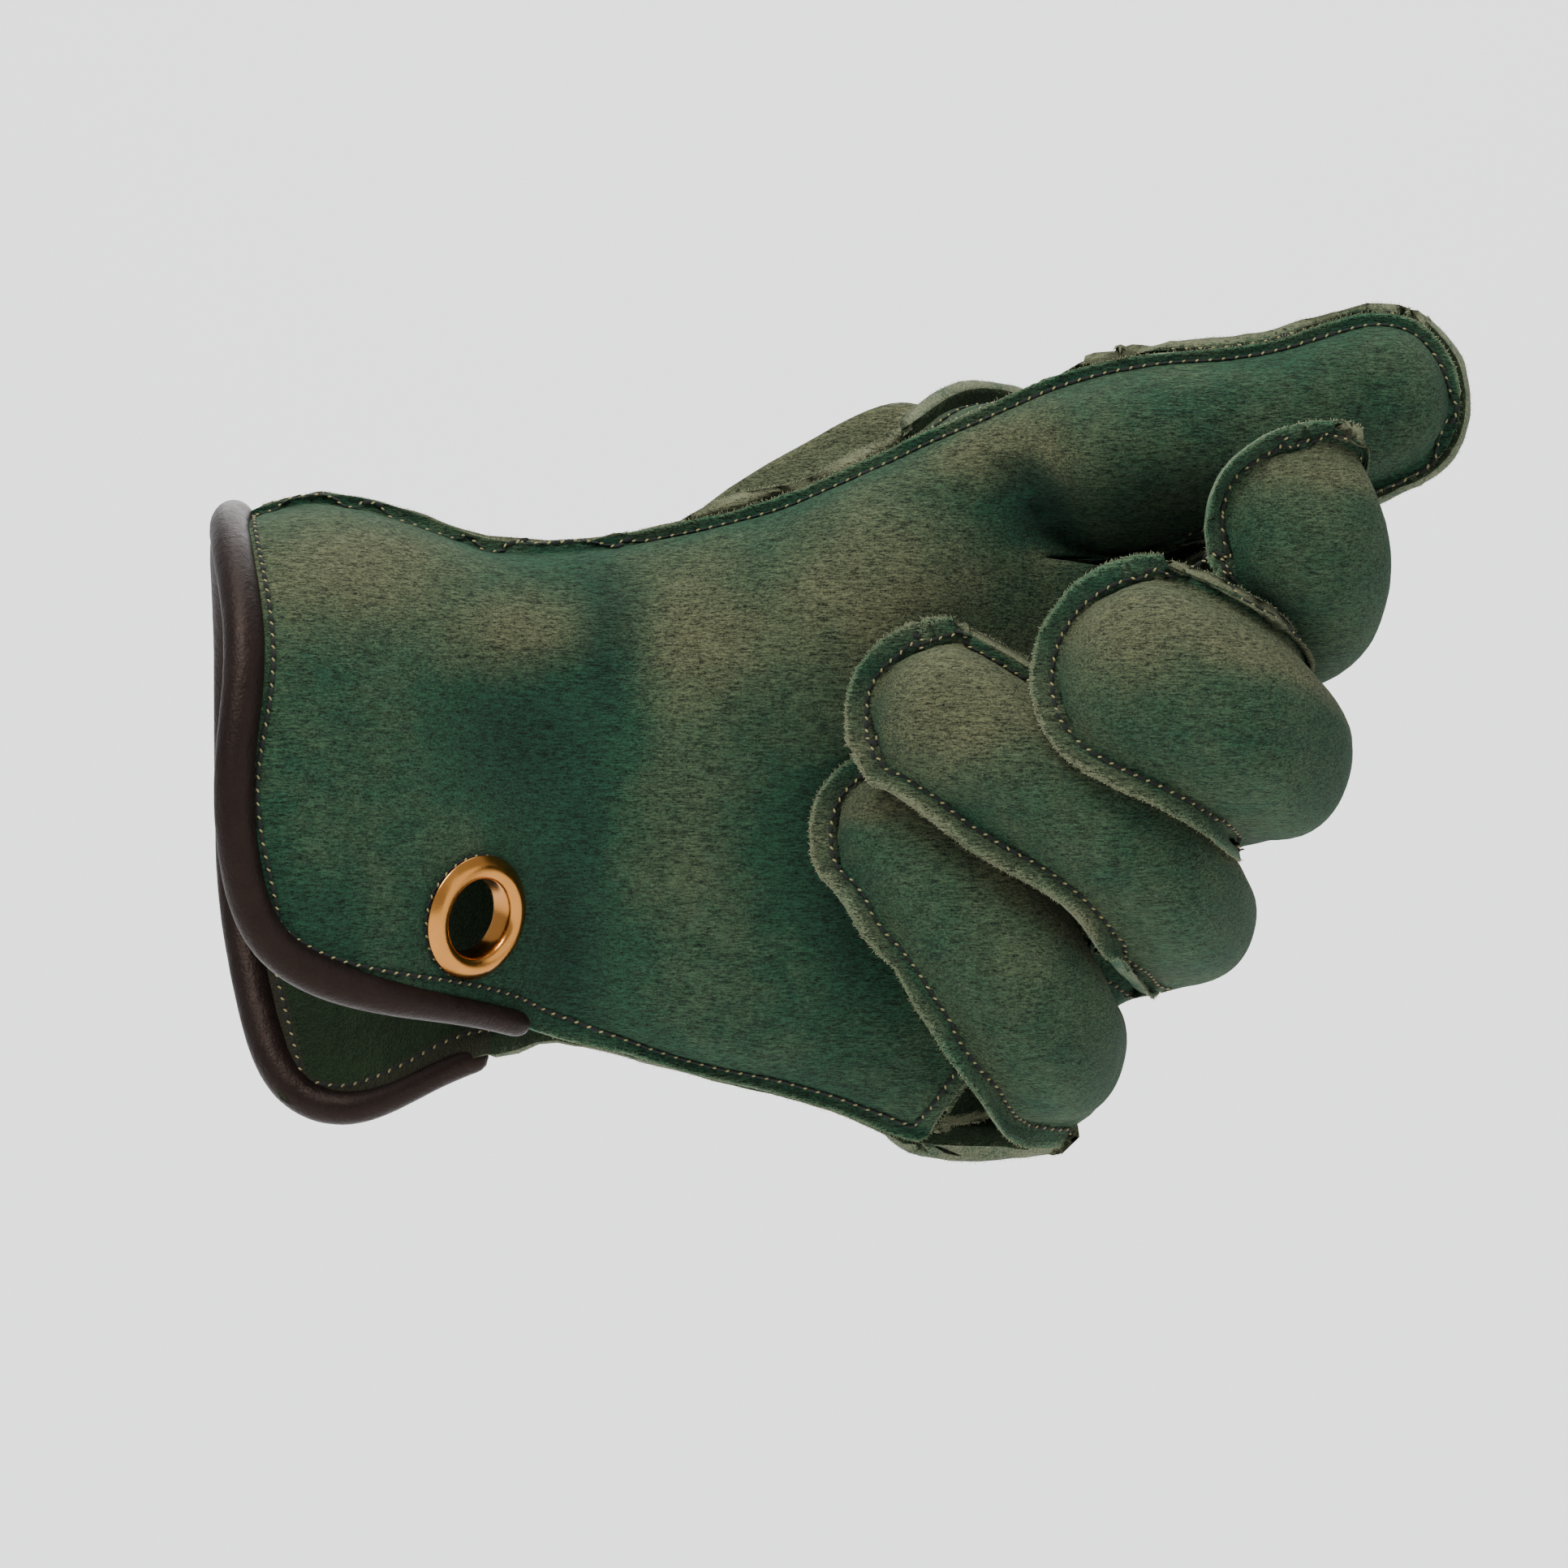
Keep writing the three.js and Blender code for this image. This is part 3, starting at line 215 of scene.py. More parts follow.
class GLOVE_PG_trim(bpy.types.PropertyGroup):
    """Colours of the binding and the eyelet"""

    brown: bpy.props.FloatVectorProperty(
        name="Binding", description="Colour of the binding's leather", subtype="COLOR",
        size=3, default=(0.0068, 0.0043, 0.0038), min=0, max=1,
    )
    brass: bpy.props.FloatVectorProperty(
        name="Brass", description="Colour of the eyelet", subtype="COLOR",
        size=3, default=(0.42, 0.18, 0.042), min=0, max=1,
    )
    roll: bpy.props.FloatProperty(
        name="Roll", description="Radius of the rolled binding",
        default=3.15 * MM, min=0.5 * MM, subtype="DISTANCE", unit="LENGTH",
    )
    slim: bpy.props.FloatProperty(
        name="Slit roll", description="Radius at the slit's ends as a share of the full radius",
        default=0.66, min=0.3, max=1,
    )


class GLOVE_PG_stage(bpy.types.PropertyGroup):
    """Camera and floor"""

    lens: bpy.props.FloatProperty(
        name="Lens", description="Focal length of the camera in mm", default=400, min=10,
    )
    width: bpy.props.FloatProperty(
        name="Frame width", description="What the picture's width shows",
        default=241.5 * MM, min=0.01, subtype="DISTANCE", unit="LENGTH",
    )
    floor: bpy.props.FloatProperty(
        name="Floor", description="Height of the floor under the wrist opening",
        default=-0.3, subtype="DISTANCE", unit="LENGTH",
    )


class Value:
    """A socket of a shader tree. Arithmetic on it adds Math nodes."""

    def __init__(self, graph, socket):
        self.graph = graph
        self.socket = socket

    def __add__(self, other):
        return self.graph.math("ADD", self, other)

    __radd__ = __add__

    def __sub__(self, other):
        return self.graph.math("SUBTRACT", self, other)

    def __rsub__(self, other):
        return self.graph.math("SUBTRACT", other, self)

    def __mul__(self, other):
        return self.graph.math("MULTIPLY", self, other)

    __rmul__ = __mul__

    def clamp(self):
        """The value kept between 0 and 1"""
        return self.graph.math("ADD", self, 0.0, use_clamp=True)


class Graph:
    """A material's shader tree around one Principled BSDF"""

    def __init__(self, name):
        self.material = bpy.data.materials.new(name)
        self.material.use_nodes = True
        self.tree = self.material.node_tree
        self.shader = next(n for n in self.tree.nodes if n.type == "BSDF_PRINCIPLED")

    def node(self, kind, settings=None, inputs=None, output=0):
        """A node of that type, set up, fed and read at one output"""
        made = self.tree.nodes.new(kind)
        for key, value in (settings or {}).items():
            setattr(made, key, value)
        for key, value in (inputs or {}).items():
            self.feed(made.inputs[key], value)
        return Value(self, made.outputs[output])

    def feed(self, socket, value):
        """Links or sets one input"""
        if isinstance(value, Value):
            self.tree.links.new(value.socket, socket)
        else:
            socket.default_value = value

    def math(self, operation, a, b=0.0, use_clamp=False):
        """A Math node"""
        settings = {"operation": operation, "use_clamp": use_clamp}
        return self.node("ShaderNodeMath", settings, {0: a, 1: b})

    def mix(self, factor, a, b):
        """A blend from colour a to colour b"""
        settings = {"data_type": "RGBA", "clamp_factor": True}
        return self.node("ShaderNodeMix", settings, {0: factor, 6: a, 7: b}, output=2)

    def scale(self, colour, factor):
        """A colour made lighter or darker"""
        colour = colour if isinstance(colour, Value) else tuple(colour)[:3]
        return self.node("ShaderNodeVectorMath", {"operation": "SCALE"}, {0: colour, 3: factor})

    def place(self, stretch=(1, 1, 1)):
        """The place on the piece in mm, stretched along the axes"""
        coords = self.node("ShaderNodeTexCoord", output=3)
        per_mm = tuple(s / MM for s in stretch)
        return self.node("ShaderNodeVectorMath", {"operation": "MULTIPLY"}, {0: coords, 1: per_mm})

    def noise(self, place, size, detail=2.0, rough=0.5):
        """Noise from 0 to 1 with blobs of about that size in mm"""
        inputs = {"Vector": place, "Scale": 1 / size, "Detail": detail, "Roughness": rough}
        return self.node("ShaderNodeTexNoise", {"normalize": True}, inputs)

    def attribute(self, name):
        """A number stored on the mesh"""
        return self.node("ShaderNodeAttribute", {"attribute_name": name}, output=2)

    def bump(self, height, depth):
        """Feeds the normal with a relief of that depth in mm"""
        inputs = {"Height": height, "Distance": depth * MM, "Strength": 1.0}
        self.set(Normal=self.node("ShaderNodeBump", None, inputs))

    def set(self, **inputs):
        """Links or sets the shader's inputs, named with underscores"""
        for key, value in inputs.items():
            self.feed(self.shader.inputs[key.replace("_", " ")], value)


def rgba(colour):
    """An opaque colour"""
    return (*colour, 1.0)


def nubuck(look):
    """Nubuck: a dry green nap, tan where rubbed and as a painted highlight where it faces up to the
    light, with painted bluish shade in dents, on sides turned from the light and along the stitches, raw
    at its cut edge
    """
    g = Graph("nubuck")
    place = g.place()
    rubbed_and_lit = g.attribute("rubbed_and_lit")
    shaded = g.attribute("shaded")
    edge = g.attribute("edge")
    seam = g.attribute("seam")
    cloud = g.noise(place, 11, 3)
    mottle = g.noise(place, 3.2, 4, 0.6)
    nap = g.noise(g.place((0.42, 1, 1.8)), 0.38, 3, 0.65)
    speck = g.noise(place, 0.26, 2)
    streak = g.noise(g.place((0.25, 0.6, 1.7)), 0.62, 4, 0.65)
    # Tan from real rubbing and from a painted highlight on faces turned up to the light, broken up by
    # cloud, mottle and nap
    wear_and_highlight = rubbed_and_lit * 1.2 - 0.2 + (cloud - 0.5) * 0.6 + (mottle - 0.5) * 0.5 + (nap - 0.5) * 0.6
    colour = g.mix(wear_and_highlight.clamp() * 0.85, rgba(look.green), rgba(look.tan))
    # Painted shade: dents, hollows and sides turned from the light blend to the bluish shade colour
    dark = (shaded + (mottle - 0.5) * 0.3).clamp()
    colour = g.mix(dark * 0.8, colour, rgba(look.shade))
    # Painted shade along the stitch line, where the seam's groove lies
    colour = g.mix((0.9 - seam).clamp() * 0.6, colour, rgba(look.shade))
    light = 0.51 + (nap - 0.5) * 2 + (speck - 0.5) * 1.4 + (streak - 0.5) * 1.8 + (cloud - 0.5) * 0.2
    colour = g.scale(colour, 0.1 + light.clamp() * 1.8)
    fray = ((0.5 - edge) * 2.4 + (nap - 0.5) * 3 + (speck - 0.5) * 2).clamp()
    colour = g.mix(fray * 0.85, colour, frayed(g, look, wear_and_highlight * 1.2 + 0.2))
    g.set(Base_Color=colour, Roughness=0.93, Sheen_Weight=0.08, Sheen_Roughness=0.45)
    g.set(Sheen_Tint=(0.45, 0.62, 0.4, 1), Specular_IOR_Level=0.14)
    g.bump(nap * 1.3 + speck * 0.4 + streak * 0.6 + mottle * 0.9, 0.6)
    return g.material


def frayed(g, look, worn_and_lit):
    """Colour of loose fibres, from bright green to cream where the leather is worn and where a painted
    highlight falls
    """
    return g.mix(worn_and_lit.clamp(), rgba(tuple(c * 4 for c in look.green)), rgba(look.raw))


def raw_edge(look):
    """The cut edge of the leather: fibrous, green to cream"""
    g = Graph("raw_edge")
    place = g.place()
    fibre = g.noise(place, 0.32, 4, 0.7)
    patch = g.noise(place, 3.5, 3)
    tone = (0.5 + (fibre - 0.5) * 3.2 + (patch - 0.5) * 1.4).clamp()
    deep = rgba(tuple(c * 1.2 for c in look.green))
    # Paler where the leather is rubbed and where a painted highlight falls on it
    pale = frayed(g, look, g.attribute("rubbed_and_lit") * 1.7 - 0.05 + (patch - 0.5) * 1.6)
    g.set(Base_Color=g.mix(tone, deep, pale), Roughness=0.97, Sheen_Weight=0.15)
    g.set(Sheen_Tint=(0.8, 0.85, 0.7, 1), Specular_IOR_Level=0.12)
    g.bump(fibre, 0.7)
    return g.material


def flesh(look):
    """The flesh side of the leather: dark green and fluffy"""
    g = Graph("flesh_side")
    place = g.place()
    tuft = g.noise(place, 1.3, 5, 0.7)
    fibre = g.noise(place, 0.35, 3, 0.7)
    cloud = g.noise(place, 7, 3)
    light = 0.2 + tuft + (fibre - 0.5) * 2.4 + (cloud - 0.5) * 1.6
    rim = ((1.5 - g.attribute("edge")) * 1.6 + (tuft - 0.5) * 1.6 + (fibre - 0.5) * 1.6).clamp()
    colour = g.mix(rim * 0.9, g.scale(rgba(look.flesh), light), g.scale(rgba(look.raw), 0.3 + fibre))
    leg = ((TURNED_LEG - g.attribute("leg")) * 4).clamp()
    colour = g.mix(leg, colour, g.scale(rgba(look.turned), 0.6 + tuft))
    g.set(Base_Color=colour, Roughness=0.98, Sheen_Weight=0.12)
    g.set(Sheen_Tint=(0.5, 0.7, 0.4, 1), Specular_IOR_Level=0.1)
    g.bump(tuft + fibre * 0.8, 1.3)
    return g.material


def brown_leather(trim):
    """Smooth dark brown binding leather with soft mottling, pores and wrinkles"""
    g = Graph("binding_leather")
    place = g.place()
    pore = g.noise(place, 0.5, 3, 0.6)
    cloud = g.noise(place, 5, 3)
    wrinkle = g.noise(g.place((1, 1, 0.4)), 1.6, 4, 0.6)
    light = 0.75 + (cloud - 0.5) * 0.9 + (pore - 0.5) * 0.5 + wrinkle * 0.4
    g.set(Base_Color=g.scale(rgba(trim.brown), light))
    g.set(Roughness=(0.46 + (pore - 0.5) * 0.3 + (cloud - 0.5) * 0.2).clamp())
    g.set(Specular_IOR_Level=0.16, Specular_Tint=(1.0, 0.72, 0.6, 1))
    g.bump(pore * 0.5 + wrinkle * 0.8, 0.25)
    return g.material


def brass(trim):
    """Polished brass with faint handling marks"""
    g = Graph("brass")
    place = g.place()
    cloud = g.noise(place, 3, 3)
    fine = g.noise(place, 0.25, 2)
    g.set(Base_Color=g.scale(rgba(trim.brass), 0.85 + cloud * 0.3), Metallic=1.0)
    g.set(Roughness=(0.14 + cloud * 0.16 + (fine - 0.5) * 0.08).clamp())
    g.bump(fine * 0.3 + cloud, 0.04)
    return g.material


def thread(stitches):
    """Sewing thread"""
    g = Graph("thread")
    ply = g.noise(g.place(), 0.4, 2)
    g.set(Base_Color=g.scale(rgba(stitches.thread), 0.45 + ply * 1.1), Roughness=0.7)
    g.set(Specular_IOR_Level=0.3)
    return g.material


def fibres(look):
    """The loose fibres of a cut edge"""
    return plain("loose_fibres", tuple(c * 1.5 for c in look.raw), 0.95)


def plain(name, colour, rough):
    """One even colour"""
    g = Graph(name)
    g.set(Base_Color=rgba(colour), Roughness=rough)
    return g.material


# Panels that the thumb's lower seam joins, and a distance in mm beyond any edge's fray
THUMB_PANELS = ("palm_panel", "thumb_back")
FAR_FROM_EDGE = 9.0

# The rim of a panel: spacing of its points, the most that evening it out may move it,
# and the widths of the bands that are evened, pulled out at the edge and seen as a fin
RIM_STEP = 0.3 * MM
MOST_EVENED = 1.3 * MM
EVENED_BAND = 2.5 * MM
EDGE_BAND = 1.7 * MM
FIN_BAND = 2.4 * MM

# The rolled binding: the reach of its solid round a bound edge, the corners that give one
# place of its middle line, how that line is evened, how far it runs on past the solid's
# edge, its spacing, the stretches over which it slims towards the slit's ends, and the
# width in mm of its leather on the inside of the cuff
UNDER_ROLL = 2.2 * MM
RING_CORNERS = 24
EVENING_ROUNDS = 4
EVENING_REACH = 6
END_REACH = 3.0 * MM
ROLL_STEP = 0.9 * MM
SLIM_END = 8 * MM
SLIM_RAMP = 34 * MM
TURNED_LEG = 5.1

# Weld distance, sharp angle of a cut edge and crease of its subdivision
WELD = 0.06 * MM
SHARP = math.radians(48)
CUT_CREASE = 1.0
FOLD_CREASE = 0.45

# The leather is 1.5 mm thick, and this much where it is measured across a bend. A bend
# of the leather stays under the first angle, and a soft one under the second. A patch
# over this area that hollows more than this is a flesh side.
THINNEST = 0.9 * MM
THICKEST = 2.3 * MM
BEND = math.radians(80)
SOFT = math.radians(38)
LARGE_PATCH = 30 * MM**2
HOLLOW = -0.08


def welded(node):
    """A copy of a solid's mesh with its loose triangles joined, mostly to quads"""
    bm = bmesh.new()
    bm.from_mesh(node.data)
    bmesh.ops.remove_doubles(bm, verts=bm.verts, dist=WELD)
    bmesh.ops.dissolve_degenerate(bm, dist=WELD, edges=bm.edges)
    bmesh.ops.join_triangles(
        bm, faces=bm.faces, angle_face_threshold=math.radians(25),
        angle_shape_threshold=math.radians(70),
    )
    bmesh.ops.recalc_face_normals(bm, faces=bm.faces)
    return bm


def is_sharp(edge):
    """True where two faces of a solid meet at a corner"""
    return len(edge.link_faces) == 2 and edge.calc_face_angle(0) > SHARP


def spread_from(seed, allowed, limit):
    """The faces that are reached from one without crossing a corner of that angle"""
    region = [seed]
    allowed.discard(seed)
    for face in region:
        for edge in face.edges:
            if len(edge.link_faces) != 2 or edge.calc_face_angle(0) > limit:
                continue
            for other in edge.link_faces:
                if other in allowed:
                    allowed.discard(other)
                    region.append(other)
    return region


def bulging(faces):
    """How far a region bulges out, from 1 for a ball down to -1 for a ball's inside"""
    area = sum(face.calc_area() for face in faces)
    middle = sum((face.calc_center_median() * face.calc_area() for face in faces), Vector()) / area
    rays = [(face, face.calc_center_median() - middle) for face in faces]
    spread = sum(face.calc_area() * ray.length for face, ray in rays)
    return sum(face.calc_area() * face.normal.dot(ray) for face, ray in rays) / max(spread, 1e-12)


def mark_regions(bm, out):
    """Sets each face's material slot. Faces with the other side of the leather right
    behind them are its grain or its flesh side, and the rest are cut edges. Of the two
    largest regions, the one that faces out along y is the grain side."""
    bm.normal_update()
    bm.faces.ensure_lookup_table()
    bm.faces.index_update()
    tree = BVHTree.FromBMesh(bm)
    behind = {}
    for face in bm.faces:
        start = face.calc_center_median() - face.normal * (0.02 * MM)
        _, normal, index, depth = tree.ray_cast(start, -face.normal)
        if normal and THINNEST < depth < THICKEST and normal.dot(face.normal) < -0.6:
            behind[face] = bm.faces[index]
    unseen = set(behind)
    regions = []
    for face in behind:
        if face in unseen:
            regions.append(spread_from(face, unseen, BEND))
    regions.sort(key=lambda faces: -sum(f.calc_area() for f in faces))
    facing = [sum(f.calc_area() * f.normal.y * out for f in faces) for faces in regions[:2]]
    if facing[0] < facing[1]:
        regions[0], regions[1] = regions[1], regions[0]
    slot = {face: order for order, faces in enumerate(regions[:2]) for face in faces}
    for faces in regions[2:]:
        votes = [slot.get(behind[face]) for face in faces]
        side = None
        if votes.count(GRAIN) != votes.count(FLESH):
            side = FLESH if votes.count(GRAIN) > votes.count(FLESH) else GRAIN
        elif sum(f.calc_area() for f in faces) > LARGE_PATCH:
            side = FLESH if bulging(faces) < HOLLOW else GRAIN
        if side is not None:
            slot.update((face, side) for face in faces)
    for _ in range(4):
        for face in bm.faces:
            if face in slot:
                continue
            for edge in face.edges:
                near = [f for f in edge.link_faces if f is not face and f in slot]
                if near and edge.calc_face_angle(0) < SOFT:
                    slot[face] = slot[near[0]]
    crease = bm.edges.layers.float.get("crease_edge") or bm.edges.layers.float.new("crease_edge")
    for face in bm.faces:
        face.material_index = slot.get(face, CUT)
    for edge in bm.edges:
        if is_sharp(edge):
            sides = {face.material_index for face in edge.link_faces}
            edge[crease] = CUT_CREASE if len(sides) > 1 else FOLD_CREASE


def plain_object(name, mesh):
    """An object at the origin in the scene"""
    made = bpy.data.objects.new(name, mesh)
    bpy.context.scene.collection.objects.link(made)
    return made


def finer(obj, levels):
    """Subdivides an object and keeps the result as its mesh"""
    bend = obj.modifiers.new("finer", "SUBSURF")
    bend.levels = bend.render_levels = levels
    settle(obj)


def settle(obj):
    """Turns an object's modifiers into its mesh"""
    graph = bpy.context.evaluated_depsgraph_get()
    mesh = bpy.data.meshes.new_from_object(obj.evaluated_get(graph), depsgraph=graph)
    obj.modifiers.clear()
    old = obj.data
    obj.data = mesh
    bpy.data.meshes.remove(old)


class Sheet:
    """Points, edges and regions of a subdivided panel as arrays"""

    def __init__(self, mesh, thumb=False):
        self.mesh = mesh
        self.thumb = thumb
        count = len(mesh.vertices)
        self.points = np.empty(count * 3)
        mesh.vertices.foreach_get("co", self.points)
        self.points = self.points.reshape(-1, 3)
        self.edges = np.empty(len(mesh.edges) * 2, dtype=np.int64)
        mesh.edges.foreach_get("vertices", self.edges)
        self.edges = self.edges.reshape(-1, 2)
        self.regions = np.empty(len(mesh.polygons), dtype=np.int64)
        mesh.polygons.foreach_get("material_index", self.regions)
        self.on = np.zeros((count, 3), dtype=bool)
        sums = np.zeros((count, 3))
        rim = {}
        for face in mesh.polygons:
            region = face.material_index
            ids = list(face.vertices)
            self.on[ids, region] = True
            if region == CUT:
                continue
            side = 1 if region == GRAIN else -1
            sums[ids] += np.array(face.normal) * side * face.area
            if region == GRAIN:
                for a, b in face.edge_keys:
                    rim[(a, b)] = rim.get((a, b), 0) + 1
        self.rim = [key for key, uses in rim.items() if uses == 1]
        bare = ~(self.on[:, GRAIN] | self.on[:, FLESH])
        for _ in range(3):
            spread = self.neighbours_mean(sums)
            sums[bare] = spread[bare]
        length = np.linalg.norm(sums, axis=1, keepdims=True)
        self.normals = sums / np.maximum(length, 1e-12)

    def neighbours_mean(self, values, edges=None):
        """The mean of each point's neighbours along the edges"""
        edges = self.edges if edges is None else edges
        a, b = edges[:, 0], edges[:, 1]
        count = np.bincount(edges.ravel(), minlength=len(values))
        out = np.empty_like(values)
        for k in range(values.shape[1]):
            total = np.bincount(a, values[b, k], len(values)) + np.bincount(b, values[a, k], len(values))
            out[:, k] = total / np.maximum(count, 1)
        lonely = count == 0
        out[lonely] = values[lonely]
        return out

    def softened(self, region, rounds):
        """The points of one region after smoothing along that region's edges"""
        keep = self.on[self.edges[:, 0], region] & self.on[self.edges[:, 1], region]
        edges = self.edges[keep]
        soft = self.points.copy()
        for _ in range(rounds):
            soft = soft * 0.4 + self.neighbours_mean(soft, edges) * 0.6
        return soft

    def write(self):
        """Stores the moved points"""
        self.mesh.vertices.foreach_set("co", self.points.ravel())
        self.mesh.update()

    def store(self, name, values):
        """Stores one number a point as an attribute"""
        layer = self.mesh.attributes.new(name, "FLOAT", "POINT")
        layer.data.foreach_set("value", np.asarray(values, dtype=np.float32))


def loops_of(edges):
    """Ordered closed or open chains through edges"""
    near = {}
    for a, b in edges:
        near.setdefault(a, []).append(b)
        near.setdefault(b, []).append(a)
    left = set(near)
    chains = []
    while left:
        start = next((v for v in left if len(near[v]) == 1), min(left))
        chain = [start]
        left.discard(start)
        while True:
            step = next((v for v in near[chain[-1]] if v in left), None)
            if step is None:
                break
            chain.append(step)
            left.discard(step)
        if len(chain) > 8:
            chains.append((chain, chain[0] in near[chain[-1]]))
    return chains


def tree_of(points):
    """A search tree on points"""
    tree = KDTree(len(points))
    for i, p in enumerate(points):
        tree.insert(p, i)
    tree.balance()
    return tree


def dense(points, closed, step):
    """Points along a chain at about that spacing"""
    points = np.array(points)
    if closed:
        points = np.vstack([points, points[:1]])
    gaps = np.linalg.norm(np.diff(points, axis=0), axis=1)
    at = np.concatenate([[0], np.cumsum(gaps)])
    count = max(2, int(at[-1] / step))
    wanted = np.linspace(0, at[-1], count + 1)
    return np.stack([np.interp(wanted, at, points[:, k]) for k in range(3)], axis=1)


def soft_noise(points, size_mm, seed):
    """Smooth noise from -1 to 1 at points, with blobs of that size"""
    scale = 1 / (size_mm * MM)
    shift = Vector((seed, seed * 0.7, seed * 1.3))
    return np.array([noise.noise(Vector(p) * scale + shift) for p in points])


def spots(points, facing, table):
    """Strength at points of a table's soft spots on the palm side"""
    x, z = points[:, 0] / MM, points[:, 2] / MM
    total = np.zeros(len(points))
    for row in table:
        away = ((x - row["x"]) / row["rx"]) ** 2 + ((z - row["z"]) / row["rz"]) ** 2
        total = np.maximum(total, row["amount"] * np.exp(-away))
    return total * facing


def folds(points, facing):
    """Depth in mm at points of the fine folds on the palm side"""
    x, z = points[:, 0] / MM, points[:, 2] / MM
    total = np.zeros(len(points))
    for f in FOLDS:
        run = np.array([f["x1"] - f["x0"], f["z1"] - f["z0"]])
        length = np.linalg.norm(run)
        dx, dz = x - f["x0"], z - f["z0"]
        t = np.clip((dx * run[0] + dz * run[1]) / length**2, 0, 1)
        off = np.hypot(dx - t * run[0], dz - t * run[1])
        bend = 0.8 * np.sin(t * 7 + f["x0"])
        along = np.sin(np.pi * np.clip(t, 0.02, 0.98))
        total += f["deep"] * along * np.exp(-(((off - bend) / f["wide"]) ** 2))
    return total * facing


def turned_in(points):
    """True for the points where a seam turns in out of sight"""
    x, z = points[:, 0] / MM, points[:, 2] / MM
    row = TURNED_IN
    return (x > row["x0"]) & (x < row["x1"]) & (z > row["z0"]) & (z < row["z1"])


def standing_out(points):
    """Share of its growth that a cut edge has at points, less where it lies flush"""
    x, z = points[:, 0] / MM, points[:, 2] / MM
    share = np.ones(len(points))
    for row in FLUSH:
        inside = np.minimum.reduce([x - row["x0"], row["x1"] - x, z - row["z0"], row["z1"] - z])
        share = np.minimum(share, 1 - 0.85 * np.clip(inside / 6, 0, 1))
    return share


def rolling_mean(values, reach, closed):
    """Values along a chain, each averaged with its neighbours"""
    mode = "wrap" if closed else "edge"
    wide = np.pad(values, [(reach, reach)] + [(0, 0)] * (values.ndim - 1), mode=mode)
    return sum(wide[k:k + len(values)] for k in range(2 * reach + 1)) / (2 * reach + 1)


def stitch_path(sheet, chain, closed, faces, bound, inner, bound_inner, bound_only=False):
    """The stitch line inside one cut edge, as runs of points with outward directions"""
    loop = dense([sheet.points[i] for i in chain], closed, 0.8 * MM)
    ahead = np.roll(loop, -1, axis=0) - np.roll(loop, 1, axis=0)
    if not closed:
        ahead[0], ahead[-1] = ahead[1], ahead[-2]
    under_roll = np.array([under(bound, p) for p in loop], dtype=float)
    inset = inner + (bound_inner - inner) * rolling_mean(under_roll, 5, closed)
    places, outs = [], []
    for p, run, reach in zip(loop, ahead, inset):
        at, normal, _, _ = faces.find_nearest(Vector(p))
        side = normal.cross(Vector(run).normalized()).normalized()
        best = None
        for sign in (1, -1):
            near, out, _, far = faces.find_nearest(Vector(p) + side * (sign * reach))
            if best is None or far < best[2]:
                best = (near, out, far)
        places.append(best[0])
        outs.append(best[1])
    places = rolling_mean(np.array(places), 3, closed)
    hidden = turned_in(places) if sheet.thumb else np.zeros(len(places), dtype=bool)
    if bound_only:
        hidden |= under_roll < 0.5
    runs, run = [], []
    for place, out, hide in zip(places, outs, hidden):
        if hide:
            runs.append(run)
            run = []
        else:
            at, _, _, _ = faces.find_nearest(Vector(place))
            run.append((at, out))
    runs.append(run)
    return [run for run in runs if len(run) > 4]


def solid_tree(name):
    """A search tree on the faces of a solid"""
    mesh = NODES[name].data
    corners = [list(face.vertices) for face in mesh.polygons]
    return BVHTree.FromPolygons([v.co for v in mesh.vertices], corners)


def under(bound, p):
    """True where a point lies within reach of the binding"""
    return bound.find_nearest(Vector(p))[3] < UNDER_ROLL


def cut_edge(sheet, chain, pull, hidden, bound):
    """Runs of a cut edge's free points with the direction out of the leather"""
    runs, run = [], []
    for i in chain:
        if hidden[i] or under(bound, sheet.points[i]):
            runs.append(run)
            run = []
        else:
            run.append((Vector(sheet.points[i]), Vector(pull[i] + sheet.normals[i] * 0.3)))
    runs.append(run)
    return [run for run in runs if len(run) > 4]


